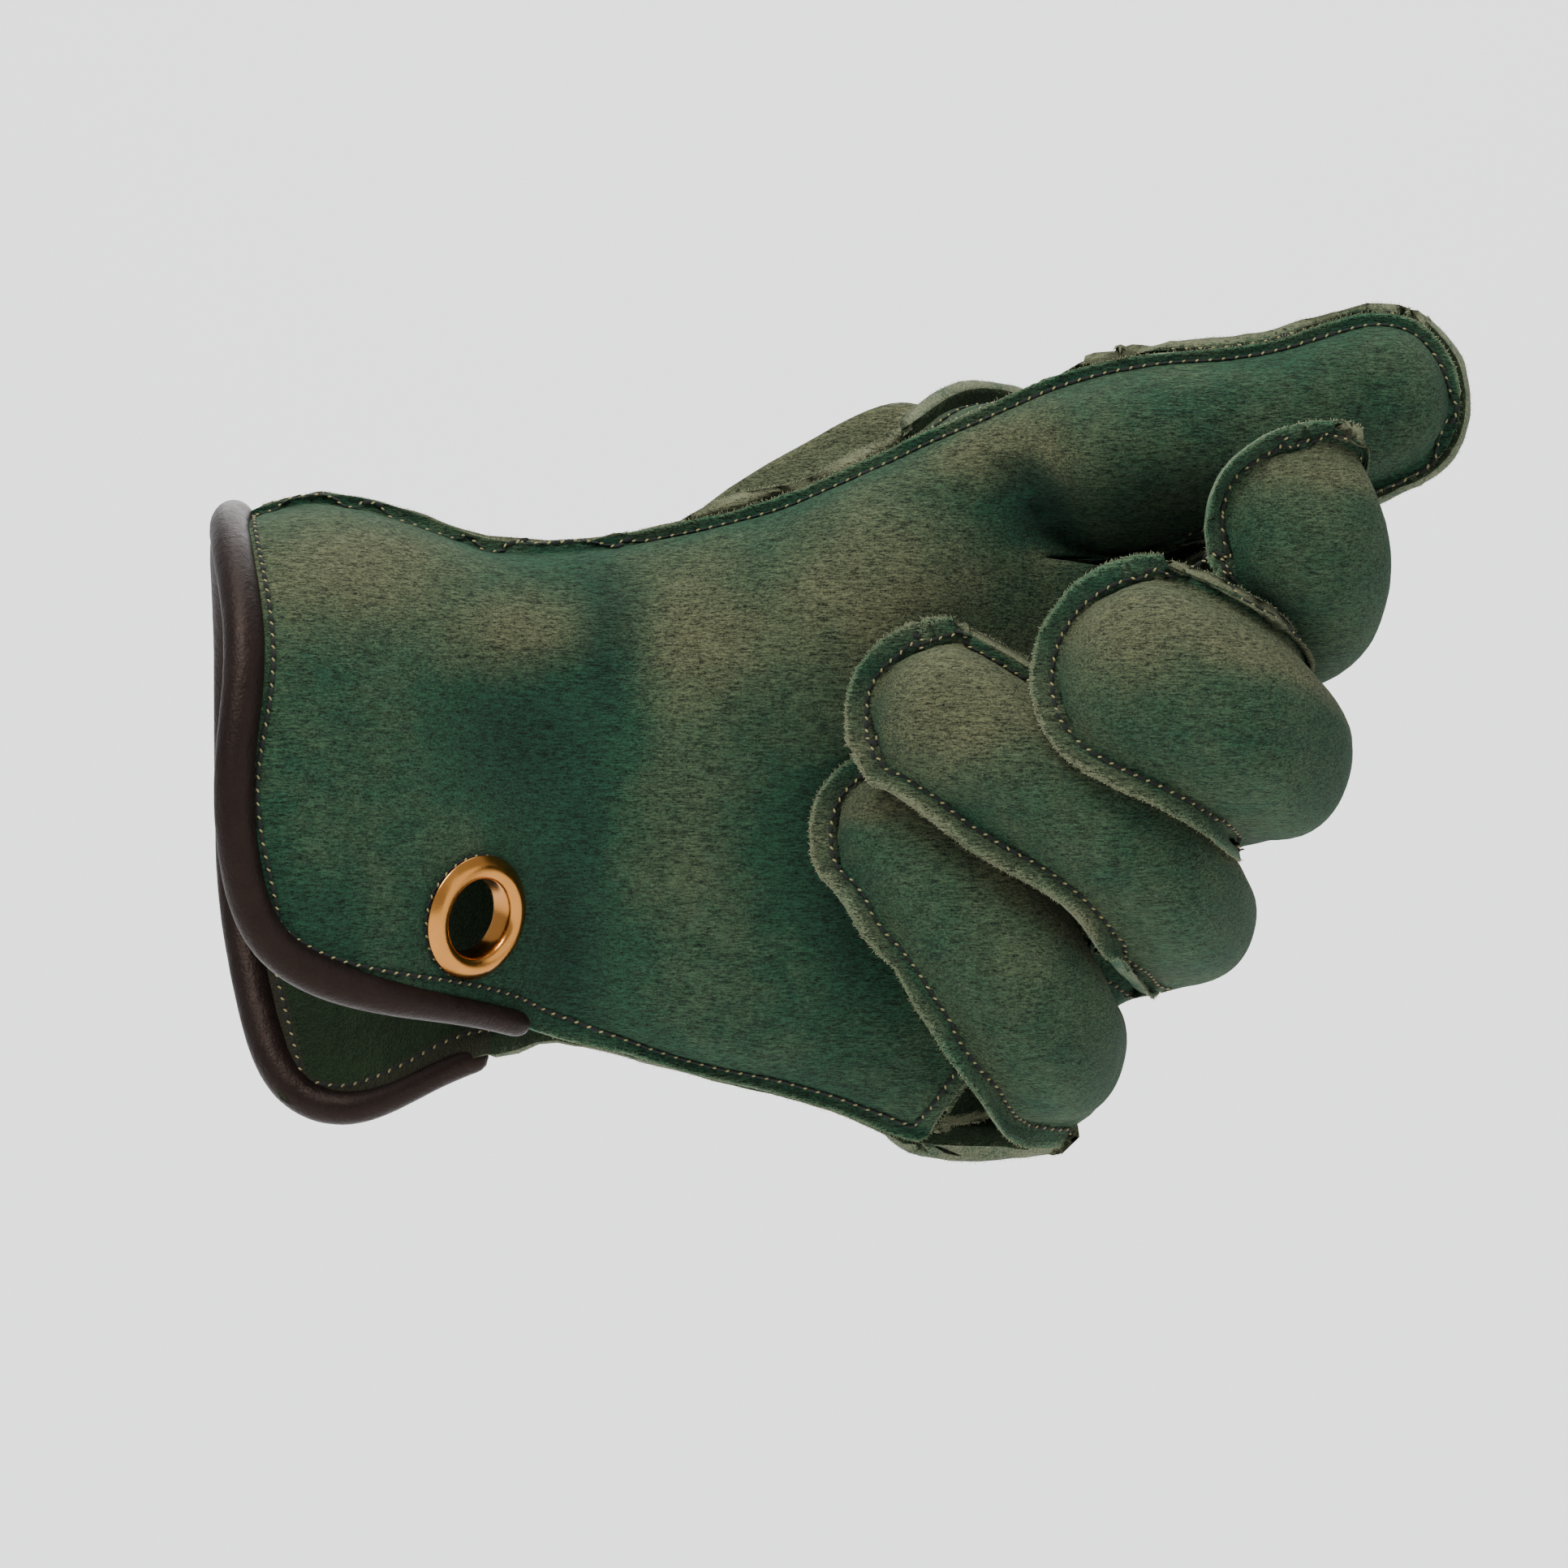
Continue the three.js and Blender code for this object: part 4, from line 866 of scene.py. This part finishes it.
def build_panel(name, look, sizes, bound, materials):
    """One leather panel; returns its stitch lines and its cut edges"""
    bm = welded(NODES[name])
    mark_regions(bm, PANELS[name]["out"])
    mesh = bpy.data.meshes.new(name + "_leather")
    for material in materials:
        mesh.materials.append(material)
    bm.to_mesh(mesh)
    bm.free()
    panel = plain_object(name + "_leather", mesh)
    finer(panel, PANELS[name]["fine"])
    sheet = Sheet(panel.data, name in THUMB_PANELS)

    grain_soft = sheet.softened(GRAIN, 90)
    chains = loops_of(sheet.rim)
    rims = [(dense([sheet.points[i] for i in c], closed, RIM_STEP), closed) for c, closed in chains]
    rim_points = np.vstack([rim for rim, _ in rims])
    rim_tree = tree_of(rim_points)
    rim_held = [under(bound, p) for p in rim_points]
    nearest = [rim_tree.find(p) for p in sheet.points]
    edge = np.array([far for _, _, far in nearest])
    held = np.array([rim_held[i] for _, i, _ in nearest])
    hidden = turned_in(sheet.points) if sheet.thumb else np.zeros(len(edge), dtype=bool)
    facing = np.clip(-sheet.normals[:, 1] * 1.6 + 0.1, 0, 1)
    bulge = np.einsum("ij,ij->i", sheet.points - grain_soft, sheet.normals) / MM
    bulge[~sheet.on[:, GRAIN]] = 0

    # Rims run in smooth curves
    even = []
    for rim, closed in rims:
        even.append(rolling_mean(rolling_mean(rim, 6, closed), 6, closed) - rim)
    even = np.vstack(even)
    reach = np.linalg.norm(even, axis=1, keepdims=True)
    even *= np.minimum(1, MOST_EVENED / np.maximum(reach, 1e-9))
    slide = np.array([even[i] for _, i, _ in nearest])
    sheet.points += slide * np.exp(-((edge / EVENED_BAND) ** 2))[:, None]

    # Cut edges stand out and wave
    pull = np.where(sheet.on[:, GRAIN, None], sheet.points - sheet.softened(GRAIN, 6), 0)
    pull += np.where(sheet.on[:, FLESH, None], sheet.points - sheet.softened(FLESH, 6), 0)
    pull -= sheet.normals * np.einsum("ij,ij->i", pull, sheet.normals)[:, None]
    bare = ~(sheet.on[:, GRAIN] | sheet.on[:, FLESH])
    for _ in range(3):
        pull[bare] = sheet.neighbours_mean(pull)[bare]
    length = np.linalg.norm(pull, axis=1, keepdims=True)
    pull = np.where(length > 1e-7, pull / np.maximum(length, 1e-9), 0)
    near_edge = np.exp(-((edge / EDGE_BAND) ** 2)) * ~held
    ragged = soft_noise(sheet.points, 2.6, 3.1) * 0.22 + soft_noise(sheet.points, 7, 9.4) * 0.25
    grow = PANELS[name]["grow"] * standing_out(sheet.points)
    sheet.points += pull * ((grow + ragged) * MM * near_edge)[:, None]

    # Soft unevenness, folds and the groove of the stitches
    lift = soft_noise(sheet.points, 13, 1.7) * look.relief
    lift += soft_noise(sheet.points, 4.5, 5.2) * look.relief * 0.3
    lift += soft_noise(sheet.points, 5.5, 7.7) * look.wave * near_edge
    lift -= folds(sheet.points, facing) * MM
    sheet.points += sheet.normals * lift[:, None]
    sheet.write()

    inset = PANELS[name]["inset"] * MM
    paths = []
    for region, bound_only in ((GRAIN, False), (FLESH, True)):
        polygons = [face for face in panel.data.polygons if face.material_index == region]
        corners = [list(face.vertices) for face in polygons]
        faces = BVHTree.FromPolygons([Vector(p) for p in sheet.points], corners)
        for c, closed in chains:
            paths += stitch_path(sheet, c, closed, faces, bound, inset, sizes.bound_inset, bound_only)
    seam_tree = tree_of([p for path in paths for p, _ in path])
    seam = np.array([seam_tree.find(p)[2] for p in sheet.points]) / MM
    groove = 0.4 * np.exp(-((seam / 0.8) ** 2)) * sheet.on[:, GRAIN]
    sheet.points -= sheet.normals * (groove * MM)[:, None]
    sheet.write()

    # Tan nap: real rubbing on the listed spots and on bulges, and this tan also serves as a painted
    # highlight where the surface faces up to the light
    rubbed_and_lit = np.clip(spots(sheet.points, facing, RUBBED_AND_LIT) + np.clip(bulge * 0.25, -0.25, 0.3), 0, 1)
    # The back side is tan too, and on the back panel faces turned up get the tan as a painted highlight
    behind = np.clip(sheet.normals[:, 1], 0, 1)
    if name == "back_panel":
        behind = np.clip(np.maximum(behind, sheet.normals[:, 2] * 1.6) * 1.3, 0, 1)
    rubbed_and_lit = np.maximum(rubbed_and_lit, behind * np.clip(0.75 + bulge * 0.1, 0, 1))
    # Painted shade: the listed shade spots darken faces turned to the palm side and faces turned away
    # from the light towards +x, and hollows darken more
    turned = np.clip(facing + np.clip(sheet.normals[:, 0], 0, 1) * 1.3, 0, 1)
    turned *= sheet.normals[:, 1] < 0.3
    shaded = np.clip(spots(sheet.points, turned, SHADED) - np.clip(bulge * 0.2, -0.4, 0.4), 0, 1)
    fin = np.exp(-((edge / FIN_BAND) ** 2)) * ~held
    shaded *= 1 - fin * 0.8
    rubbed_and_lit = np.clip(rubbed_and_lit + fin * 0.25, 0, 1)
    sheet.store("edge", np.where(hidden | held, FAR_FROM_EDGE, edge / MM))
    sheet.store("leg", np.where(held, edge / MM, FAR_FROM_EDGE))
    sheet.store("seam", seam)
    sheet.store("rubbed_and_lit", rubbed_and_lit)
    sheet.store("shaded", shaded)
    for face in panel.data.polygons:
        face.use_smooth = True
        if face.material_index == CUT and all(hidden[i] or held[i] for i in face.vertices):
            face.material_index = GRAIN
    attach(panel, "root")
    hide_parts(name)
    return paths, [cut_edge(sheet, c, pull, hidden, bound) for c, closed in chains]


class Repeats:
    """A Geometry Nodes tree that sets copies along the curves of its input"""

    def __init__(self, name, labels):
        self.tree = bpy.data.node_groups.new(name, "GeometryNodeTree")
        face = self.tree.interface
        face.new_socket("Geometry", in_out="INPUT", socket_type="NodeSocketGeometry")
        for label in labels:
            face.new_socket(label, in_out="INPUT", socket_type="NodeSocketFloat")
        face.new_socket("Geometry", in_out="OUTPUT", socket_type="NodeSocketGeometry")
        self.source = self.tree.nodes.new("NodeGroupInput").outputs
        self.join = self.tree.nodes.new("GeometryNodeJoinGeometry")
        sink = self.tree.nodes.new("NodeGroupOutput")
        self.tree.links.new(self.join.outputs[0], sink.inputs[0])
        curve = self.node("GeometryNodeMeshToCurve", None, {"Mesh": self.source["Geometry"]})[0]
        self.points = self.node(
            "GeometryNodeResampleCurve", {"mode": "LENGTH"},
            {"Curve": curve, "Length": self.source["Pitch"]},
        )[0]
        self.tangent = self.node("GeometryNodeInputTangent")[0]
        up = {"Name": "up"}
        self.up = self.node("GeometryNodeInputNamedAttribute", {"data_type": "FLOAT_VECTOR"}, up)[0]

    def node(self, kind, settings=None, inputs=None):
        """The outputs of a new node that is set up and fed"""
        made = self.tree.nodes.new(kind)
        for key, value in (settings or {}).items():
            setattr(made, key, value)
        for key, value in (inputs or {}).items():
            if isinstance(value, bpy.types.NodeSocket):
                self.tree.links.new(value, made.inputs[key])
            else:
                made.inputs[key].default_value = value
        return made.outputs

    def times(self, a, b):
        """A product of two numbers"""
        return self.node("ShaderNodeMath", {"operation": "MULTIPLY"}, {0: a, 1: b})[0]

    def vector(self, x=0.0, y=0.0, z=0.0):
        """A vector from three numbers"""
        return self.node("ShaderNodeCombineXYZ", None, {"X": x, "Y": y, "Z": z})[0]

    def turned(self, rotation, by):
        """A rotation turned further about its own axes"""
        inputs = {"Rotation": rotation, "Rotate By": by}
        return self.node("FunctionNodeRotateRotation", {"rotation_space": "LOCAL"}, inputs)[0]

    def copies(self, points, shape, rotation, scale, material):
        """Sets a copy of a shape on each point and sends them to the output"""
        inputs = {"Points": points, "Instance": shape, "Rotation": rotation, "Scale": scale}
        placed = self.node("GeometryNodeInstanceOnPoints", None, inputs)[0]
        real = self.node("GeometryNodeRealizeInstances", None, {"Geometry": placed})[0]
        dressed = self.node("GeometryNodeSetMaterial", None, {"Geometry": real, "Material": material})[0]
        self.tree.links.new(dressed, self.join.inputs[0])


def stitch_tree(thread_material, hole_shade_material):
    """Geometry nodes that sew stitches, with a flat dark bead of painted shade for the needle hole
    between each two
    """
    sew = Repeats("stitches", ("Pitch", "Length", "Width", "Slant"))
    along = sew.node("FunctionNodeAlignRotationToVector", {"axis": "X"}, {"Vector": sew.tangent})[0]
    inputs = {"Rotation": along, "Vector": sew.up}
    flat = sew.node("FunctionNodeAlignRotationToVector", {"axis": "Z", "pivot_axis": "X"}, inputs)[0]
    slanted = sew.turned(flat, sew.vector(z=sew.source["Slant"]))
    half_long = sew.times(sew.source["Length"], 0.5)
    half_wide = sew.times(sew.source["Width"], 0.5)
    ball = sew.node("GeometryNodeMeshUVSphere", None, {"Segments": 8, "Rings": 5, "Radius": 1.0})[0]
    sew.copies(sew.points, ball, slanted, sew.vector(half_long, half_wide, half_wide), thread_material)
    half_pitch = sew.times(sew.source["Pitch"], 0.5)
    back = {0: sew.tangent, "Scale": half_pitch}
    step = sew.node("ShaderNodeVectorMath", {"operation": "SCALE"}, back)[0]
    between = sew.node("GeometryNodeSetPosition", None, {"Geometry": sew.points, "Offset": step})[0]
    long_hole = sew.times(sew.source["Width"], 2.5)
    wide_hole = sew.times(sew.source["Width"], 1.15)
    thin = sew.times(sew.source["Width"], 0.25)
    bead = sew.node("GeometryNodeMeshUVSphere", None, {"Segments": 8, "Rings": 3, "Radius": 1.0})[0]
    sew.copies(between, bead, flat, sew.vector(long_hole, wide_hole, thin), hole_shade_material)
    return sew.tree


def fuzz_tree(material):
    """Geometry nodes that set loose fibres on a cut edge"""
    fray = Repeats("fuzz", ("Pitch", "Length"))
    out = fray.node("FunctionNodeAlignRotationToVector", {"axis": "Z"}, {"Vector": fray.up})[0]
    low, high = (-1.1, -1.1, 0.0), (1.1, 1.1, 6.28)
    settings = {"data_type": "FLOAT_VECTOR"}
    spread = fray.node("FunctionNodeRandomValue", settings, {0: low, 1: high, "Seed": 4})[0]
    turned = fray.turned(out, spread)
    share = fray.node("FunctionNodeRandomValue", {"data_type": "FLOAT"}, {2: 0.25, 3: 1.0, "Seed": 9})[1]
    length = fray.times(fray.source["Length"], share)
    shape = {"Vertices": 3, "Radius Top": 0.0, "Radius Bottom": 0.055 * MM, "Depth": 1.0}
    fibre = fray.node("GeometryNodeMeshCone", None, shape)[0]
    fray.copies(fray.points, fibre, turned, fray.vector(1.0, 1.0, length), material)
    return fray.tree


def path_object(name, paths, lift):
    """Chains of points, raised off the leather, with the direction up stored"""
    points, ups, edges = [], [], []
    for path in paths:
        start = len(points)
        for at, out in path:
            points.append(at + out * lift)
            ups.append(out)
        edges += [(i, i + 1) for i in range(start, len(points) - 1)]
    mesh = bpy.data.meshes.new(name)
    mesh.from_pydata(points, edges, [])
    layer = mesh.attributes.new("up", "FLOAT_VECTOR", "POINT")
    layer.data.foreach_set("vector", [c for up in ups for c in up])
    return plain_object(name, mesh)


def set_inputs(modifier, tree, values):
    """Sets a Geometry Nodes modifier's inputs by name"""
    for item in tree.interface.items_tree:
        if item.in_out == "INPUT" and item.name in values:
            modifier[item.identifier] = values[item.name]


def grown(name, paths, lift, tree, values):
    """Many small copies along chains of points, as one plain piece"""
    piece = path_object(name, paths, lift)
    modifier = piece.modifiers.new("repeats", "NODES")
    modifier.node_group = tree
    set_inputs(modifier, tree, values)
    settle(piece)
    if not piece.data.polygons:
        raise RuntimeError(name + " got no faces")
    piece.data.polygons.foreach_set("use_smooth", [True] * len(piece.data.polygons))
    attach(piece, "root")


class GLOVE_OT_leather(bpy.types.Operator):
    """Builds the leather panels and sews their seams"""

    bl_idname = "glove.leather"
    bl_label = "Leather and stitches"

    def execute(self, context):
        look = context.scene.glove_leather
        sizes = context.scene.glove_stitches
        materials = [nubuck(look), flesh(look), raw_edge(look)]
        bound = solid_tree("cuff_binding")
        paths, edges = [], []
        for name in PANELS:
            stitched, cut = build_panel(name, look, sizes, bound, materials)
            paths += stitched
            edges += [run for runs in cut for run in runs]
        # Painted shade: a near-black colour for the flat beads that stand for the shadow in each needle
        # hole
        hole = plain("needle_hole_shade", (0.003, 0.005, 0.003), 1.0)
        values = {"Pitch": sizes.pitch, "Length": sizes.length, "Width": sizes.width}
        values["Slant"] = sizes.slant
        grown("stitches", paths, sizes.width * 0.05, stitch_tree(thread(sizes), hole), values)
        values = {"Pitch": look.fuzz_step, "Length": look.fuzz}
        grown("edge_fuzz", edges, 0.0, fuzz_tree(fibres(look)), values)
        return {"FINISHED"}


def bound_run(name, bound):
    """The longest run of a panel's cut edge that lies under the binding"""
    bm = welded(NODES[name])
    mark_regions(bm, PANELS[name]["out"])
    mesh = bpy.data.meshes.new("edge")
    bm.to_mesh(mesh)
    bm.free()
    sheet = Sheet(mesh)
    best = []
    for chain, closed in loops_of(sheet.rim):
        loop = dense([sheet.points[i] for i in chain], closed, 1.0 * MM)
        held = [under(bound, p) for p in loop]
        first = next((k for k, on in enumerate(held) if not on), 0)
        run = []
        for k in range(len(loop) + 1):
            i = (first + k) % len(loop)
            if held[i] and k < len(loop):
                run.append(loop[i])
                continue
            if len(run) > len(best):
                best = run
            run = []
    bpy.data.meshes.remove(mesh)
    return np.array(best)


def binding_line():
    """The middle line of the binding, from the slit round the mouth to the slit"""
    places = [v.co.copy() for v in NODES["cuff_binding"].data.vertices]
    corners = tree_of(places)
    bound = solid_tree("cuff_binding")
    near, far = (bound_run(name, bound) for name in ("palm_panel", "back_panel"))
    ends = [(np.linalg.norm(near[i] - far[j]), i, j) for i in (0, -1) for j in (0, -1)]
    _, i, j = min(ends)
    near = near if i == -1 else near[::-1]
    far = far if j == 0 else far[::-1]
    line = np.vstack([near, far])
    centres = []
    for p in line:
        ring = [places[i] for _, i, _ in corners.find_n(Vector(p), RING_CORNERS)]
        centres.append(np.mean(ring, axis=0))
    line = np.array(centres)
    for _ in range(EVENING_ROUNDS):
        line = rolling_mean(line, EVENING_REACH, False)
    first, last = line[0] - line[3], line[-1] - line[-4]
    first, last = (run / np.linalg.norm(run) * END_REACH for run in (first, last))
    line = np.vstack([line[:1] + first, line, line[-1:] + last])
    return dense(line, False, ROLL_STEP)


def rolled(name, line, radius, slim, sides=28, end=3):
    """A round roll of leather along a line, slimmer towards its rounded ends"""
    from_start = np.concatenate([[0], np.cumsum(np.linalg.norm(np.diff(line, axis=0), axis=1))])
    from_end = np.minimum(from_start, from_start[-1] - from_start)
    full = np.clip((from_end - SLIM_END) / SLIM_RAMP, 0, 1)
    radii = radius * (slim + (1 - slim) * full * full * (3 - 2 * full))
    ahead = np.gradient(line, axis=0)
    ahead /= np.linalg.norm(ahead, axis=1, keepdims=True)
    side = np.cross(ahead[0], (0, 1, 0))
    points = []
    steps = len(line)
    for k, (p, run) in enumerate(zip(line, ahead)):
        side = side - run * np.dot(side, run)
        side /= np.linalg.norm(side)
        up = np.cross(run, side)
        past = 1 - min(1, min(k, steps - 1 - k) / end)
        wide = radii[k] * max(0.2, math.sqrt(1 - past**2))
        for a in np.linspace(0, 2 * math.pi, sides, endpoint=False):
            points.append(p + (side * math.cos(a) + up * math.sin(a)) * wide)
    faces = []
    for k in range(steps - 1):
        for i in range(sides):
            j = (i + 1) % sides
            faces.append((k * sides + i, k * sides + j, (k + 1) * sides + j, (k + 1) * sides + i))
    faces.append(tuple(reversed(range(sides))))
    faces.append(tuple(range((steps - 1) * sides, steps * sides)))
    points = np.array(points)
    out = points - np.repeat(line, sides, axis=0)
    lift = soft_noise(points, 7, 2.2) * 0.05 + soft_noise(points, 2.2, 8.1) * 0.03
    points += out / radius * (lift * MM)[:, None]
    mesh = bpy.data.meshes.new(name)
    mesh.from_pydata([tuple(p) for p in points], [], faces)
    made = plain_object(name, mesh)
    bm = bmesh.new()
    bm.from_mesh(mesh)
    bmesh.ops.recalc_face_normals(bm, faces=bm.faces)
    bm.to_mesh(mesh)
    bm.free()
    mesh.polygons.foreach_set("use_smooth", [True] * len(mesh.polygons))
    return made


class GLOVE_OT_binding(bpy.types.Operator):
    """Builds the rolled binding"""

    bl_idname = "glove.binding"
    bl_label = "Binding"

    def execute(self, context):
        trim = context.scene.glove_trim
        roll = rolled("rolled_binding", binding_line(), trim.roll, trim.slim)
        roll.data.materials.append(brown_leather(trim))
        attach(roll, "root")
        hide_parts("cuff_binding")
        return {"FINISHED"}


class GLOVE_OT_eyelet(bpy.types.Operator):
    """Builds the brass eyelet and its washer"""

    bl_idname = "glove.eyelet"
    bl_label = "Eyelet"

    def execute(self, context):
        metal = brass(context.scene.glove_trim)
        for node, name, levels in (("eyelet_front", "eyelet", 3), ("eyelet_back", "washer", 2)):
            bm = welded(NODES[node])
            crease = bm.edges.layers.float.new("crease_edge")
            for edge in bm.edges:
                if is_sharp(edge):
                    edge[crease] = 0.5
            mesh = bpy.data.meshes.new(name)
            mesh.materials.append(metal)
            bm.to_mesh(mesh)
            bm.free()
            ring = plain_object(name, mesh)
            finer(ring, levels)
            ring.data.polygons.foreach_set("use_smooth", [True] * len(ring.data.polygons))
            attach(ring, "root")
            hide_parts(node)
        return {"FINISHED"}


def sweep(height, reach, back, radius):
    """Floor that curves up into a backdrop behind the glove"""
    profile = [(-reach, height), (back - radius, height)]
    for k in range(1, 17):
        a = math.pi / 2 * k / 16
        profile.append((back - radius + radius * math.sin(a), height + radius - radius * math.cos(a)))
    profile.append((back, height + 2 * reach))
    points = [(x, y, z) for x in (-reach, reach) for y, z in profile]
    n = len(profile)
    faces = [(i, i + n, i + n + 1, i + 1) for i in range(n - 1)]
    mesh = bpy.data.meshes.new("floor")
    mesh.from_pydata(points, [], faces)
    mesh.polygons.foreach_set("use_smooth", [True] * len(faces))
    return plain_object("floor", mesh)


def soft_light(name, at, target, size, power):
    """A square light aimed at a point"""
    data = bpy.data.lights.new(name, "AREA")
    data.shape = "SQUARE"
    data.size = size
    data.energy = power
    lamp = bpy.data.objects.new(name, data)
    bpy.context.scene.collection.objects.link(lamp)
    lamp.location = at
    lamp.rotation_euler = (Vector(target) - Vector(at)).to_track_quat("-Z", "Y").to_euler()


class GLOVE_OT_stage(bpy.types.Operator):
    """Builds the floor, the lights and the camera"""

    bl_idname = "glove.stage"
    bl_label = "Stage"

    def execute(self, context):
        stage = context.scene.glove_stage
        floor = sweep(stage.floor, 6.0, 4.2, 1.2)
        floor.data.materials.append(plain("pale_floor", (0.93, 0.93, 0.93), 0.9))

        centre = Vector((84.5 * MM, 0, -0.75 * MM))
        soft_light("key", (-0.45, -0.95, 1.35), centre, 0.8, 45)
        soft_light("fill", (1.2, -1.1, 0.3), centre, 1.4, 8)
        soft_light("top", (0.1, 0.3, 1.5), centre, 1.2, 18)
        soft_light("back", (0.3, 1.2, 0.8), centre, 1.2, 12)
        soft_light("backdrop", (0.1, 2.4, 2.2), (0.1, 4.2, 0.2), 1.6, 95)
        world = bpy.data.worlds.new("studio")
        world.use_nodes = True
        world.node_tree.nodes["Background"].inputs[0].default_value = (0.95, 0.97, 1.0, 1)
        world.node_tree.nodes["Background"].inputs[1].default_value = 0.68
        context.scene.world = world

        data = bpy.data.cameras.new("camera")
        data.lens = stage.lens
        data.sensor_width = 36
        data.clip_end = 50
        camera = bpy.data.objects.new("camera", data)
        context.scene.collection.objects.link(camera)
        face = 18 * MM
        camera.location = (centre.x, -face - stage.width * stage.lens / 36, centre.z)
        camera.rotation_euler = (math.radians(90), 0, 0)
        context.scene.camera = camera
        return {"FINISHED"}


class GLOVE_PT_panel(bpy.types.Panel):
    """Lists the glove's settings and builders"""

    bl_idname = "GLOVE_PT_panel"
    bl_label = "Glove"
    bl_space_type = "VIEW_3D"
    bl_region_type = "UI"
    bl_category = "Glove"

    def draw(self, context):
        for group, operator in PARTS:
            box = self.layout.box()
            settings = getattr(context.scene, group)
            for name in settings.bl_rna.properties.keys():
                if name not in ("rna_type", "name"):
                    box.prop(settings, name)
            for name in operator:
                box.operator(name)


GROUPS = {
    "glove_leather": GLOVE_PG_leather,
    "glove_stitches": GLOVE_PG_stitches,
    "glove_trim": GLOVE_PG_trim,
    "glove_stage": GLOVE_PG_stage,
}
PARTS = [
    ("glove_leather", []),
    ("glove_stitches", ["glove.leather"]),
    ("glove_trim", ["glove.binding", "glove.eyelet"]),
    ("glove_stage", ["glove.stage"]),
]
CLASSES = [
    *GROUPS.values(),
    GLOVE_OT_leather,
    GLOVE_OT_binding,
    GLOVE_OT_eyelet,
    GLOVE_OT_stage,
    GLOVE_PT_panel,
]


def register():
    for cls in CLASSES:
        bpy.utils.register_class(cls)
    for name, group in GROUPS.items():
        setattr(bpy.types.Scene, name, bpy.props.PointerProperty(type=group))


def unregister():
    for name in GROUPS:
        delattr(bpy.types.Scene, name)
    for cls in reversed(CLASSES):
        bpy.utils.unregister_class(cls)


def main():
    register()
    bpy.ops.glove.leather()
    bpy.ops.glove.binding()
    bpy.ops.glove.eyelet()
    bpy.ops.glove.stage()


if __name__ == "__main__":
    main()
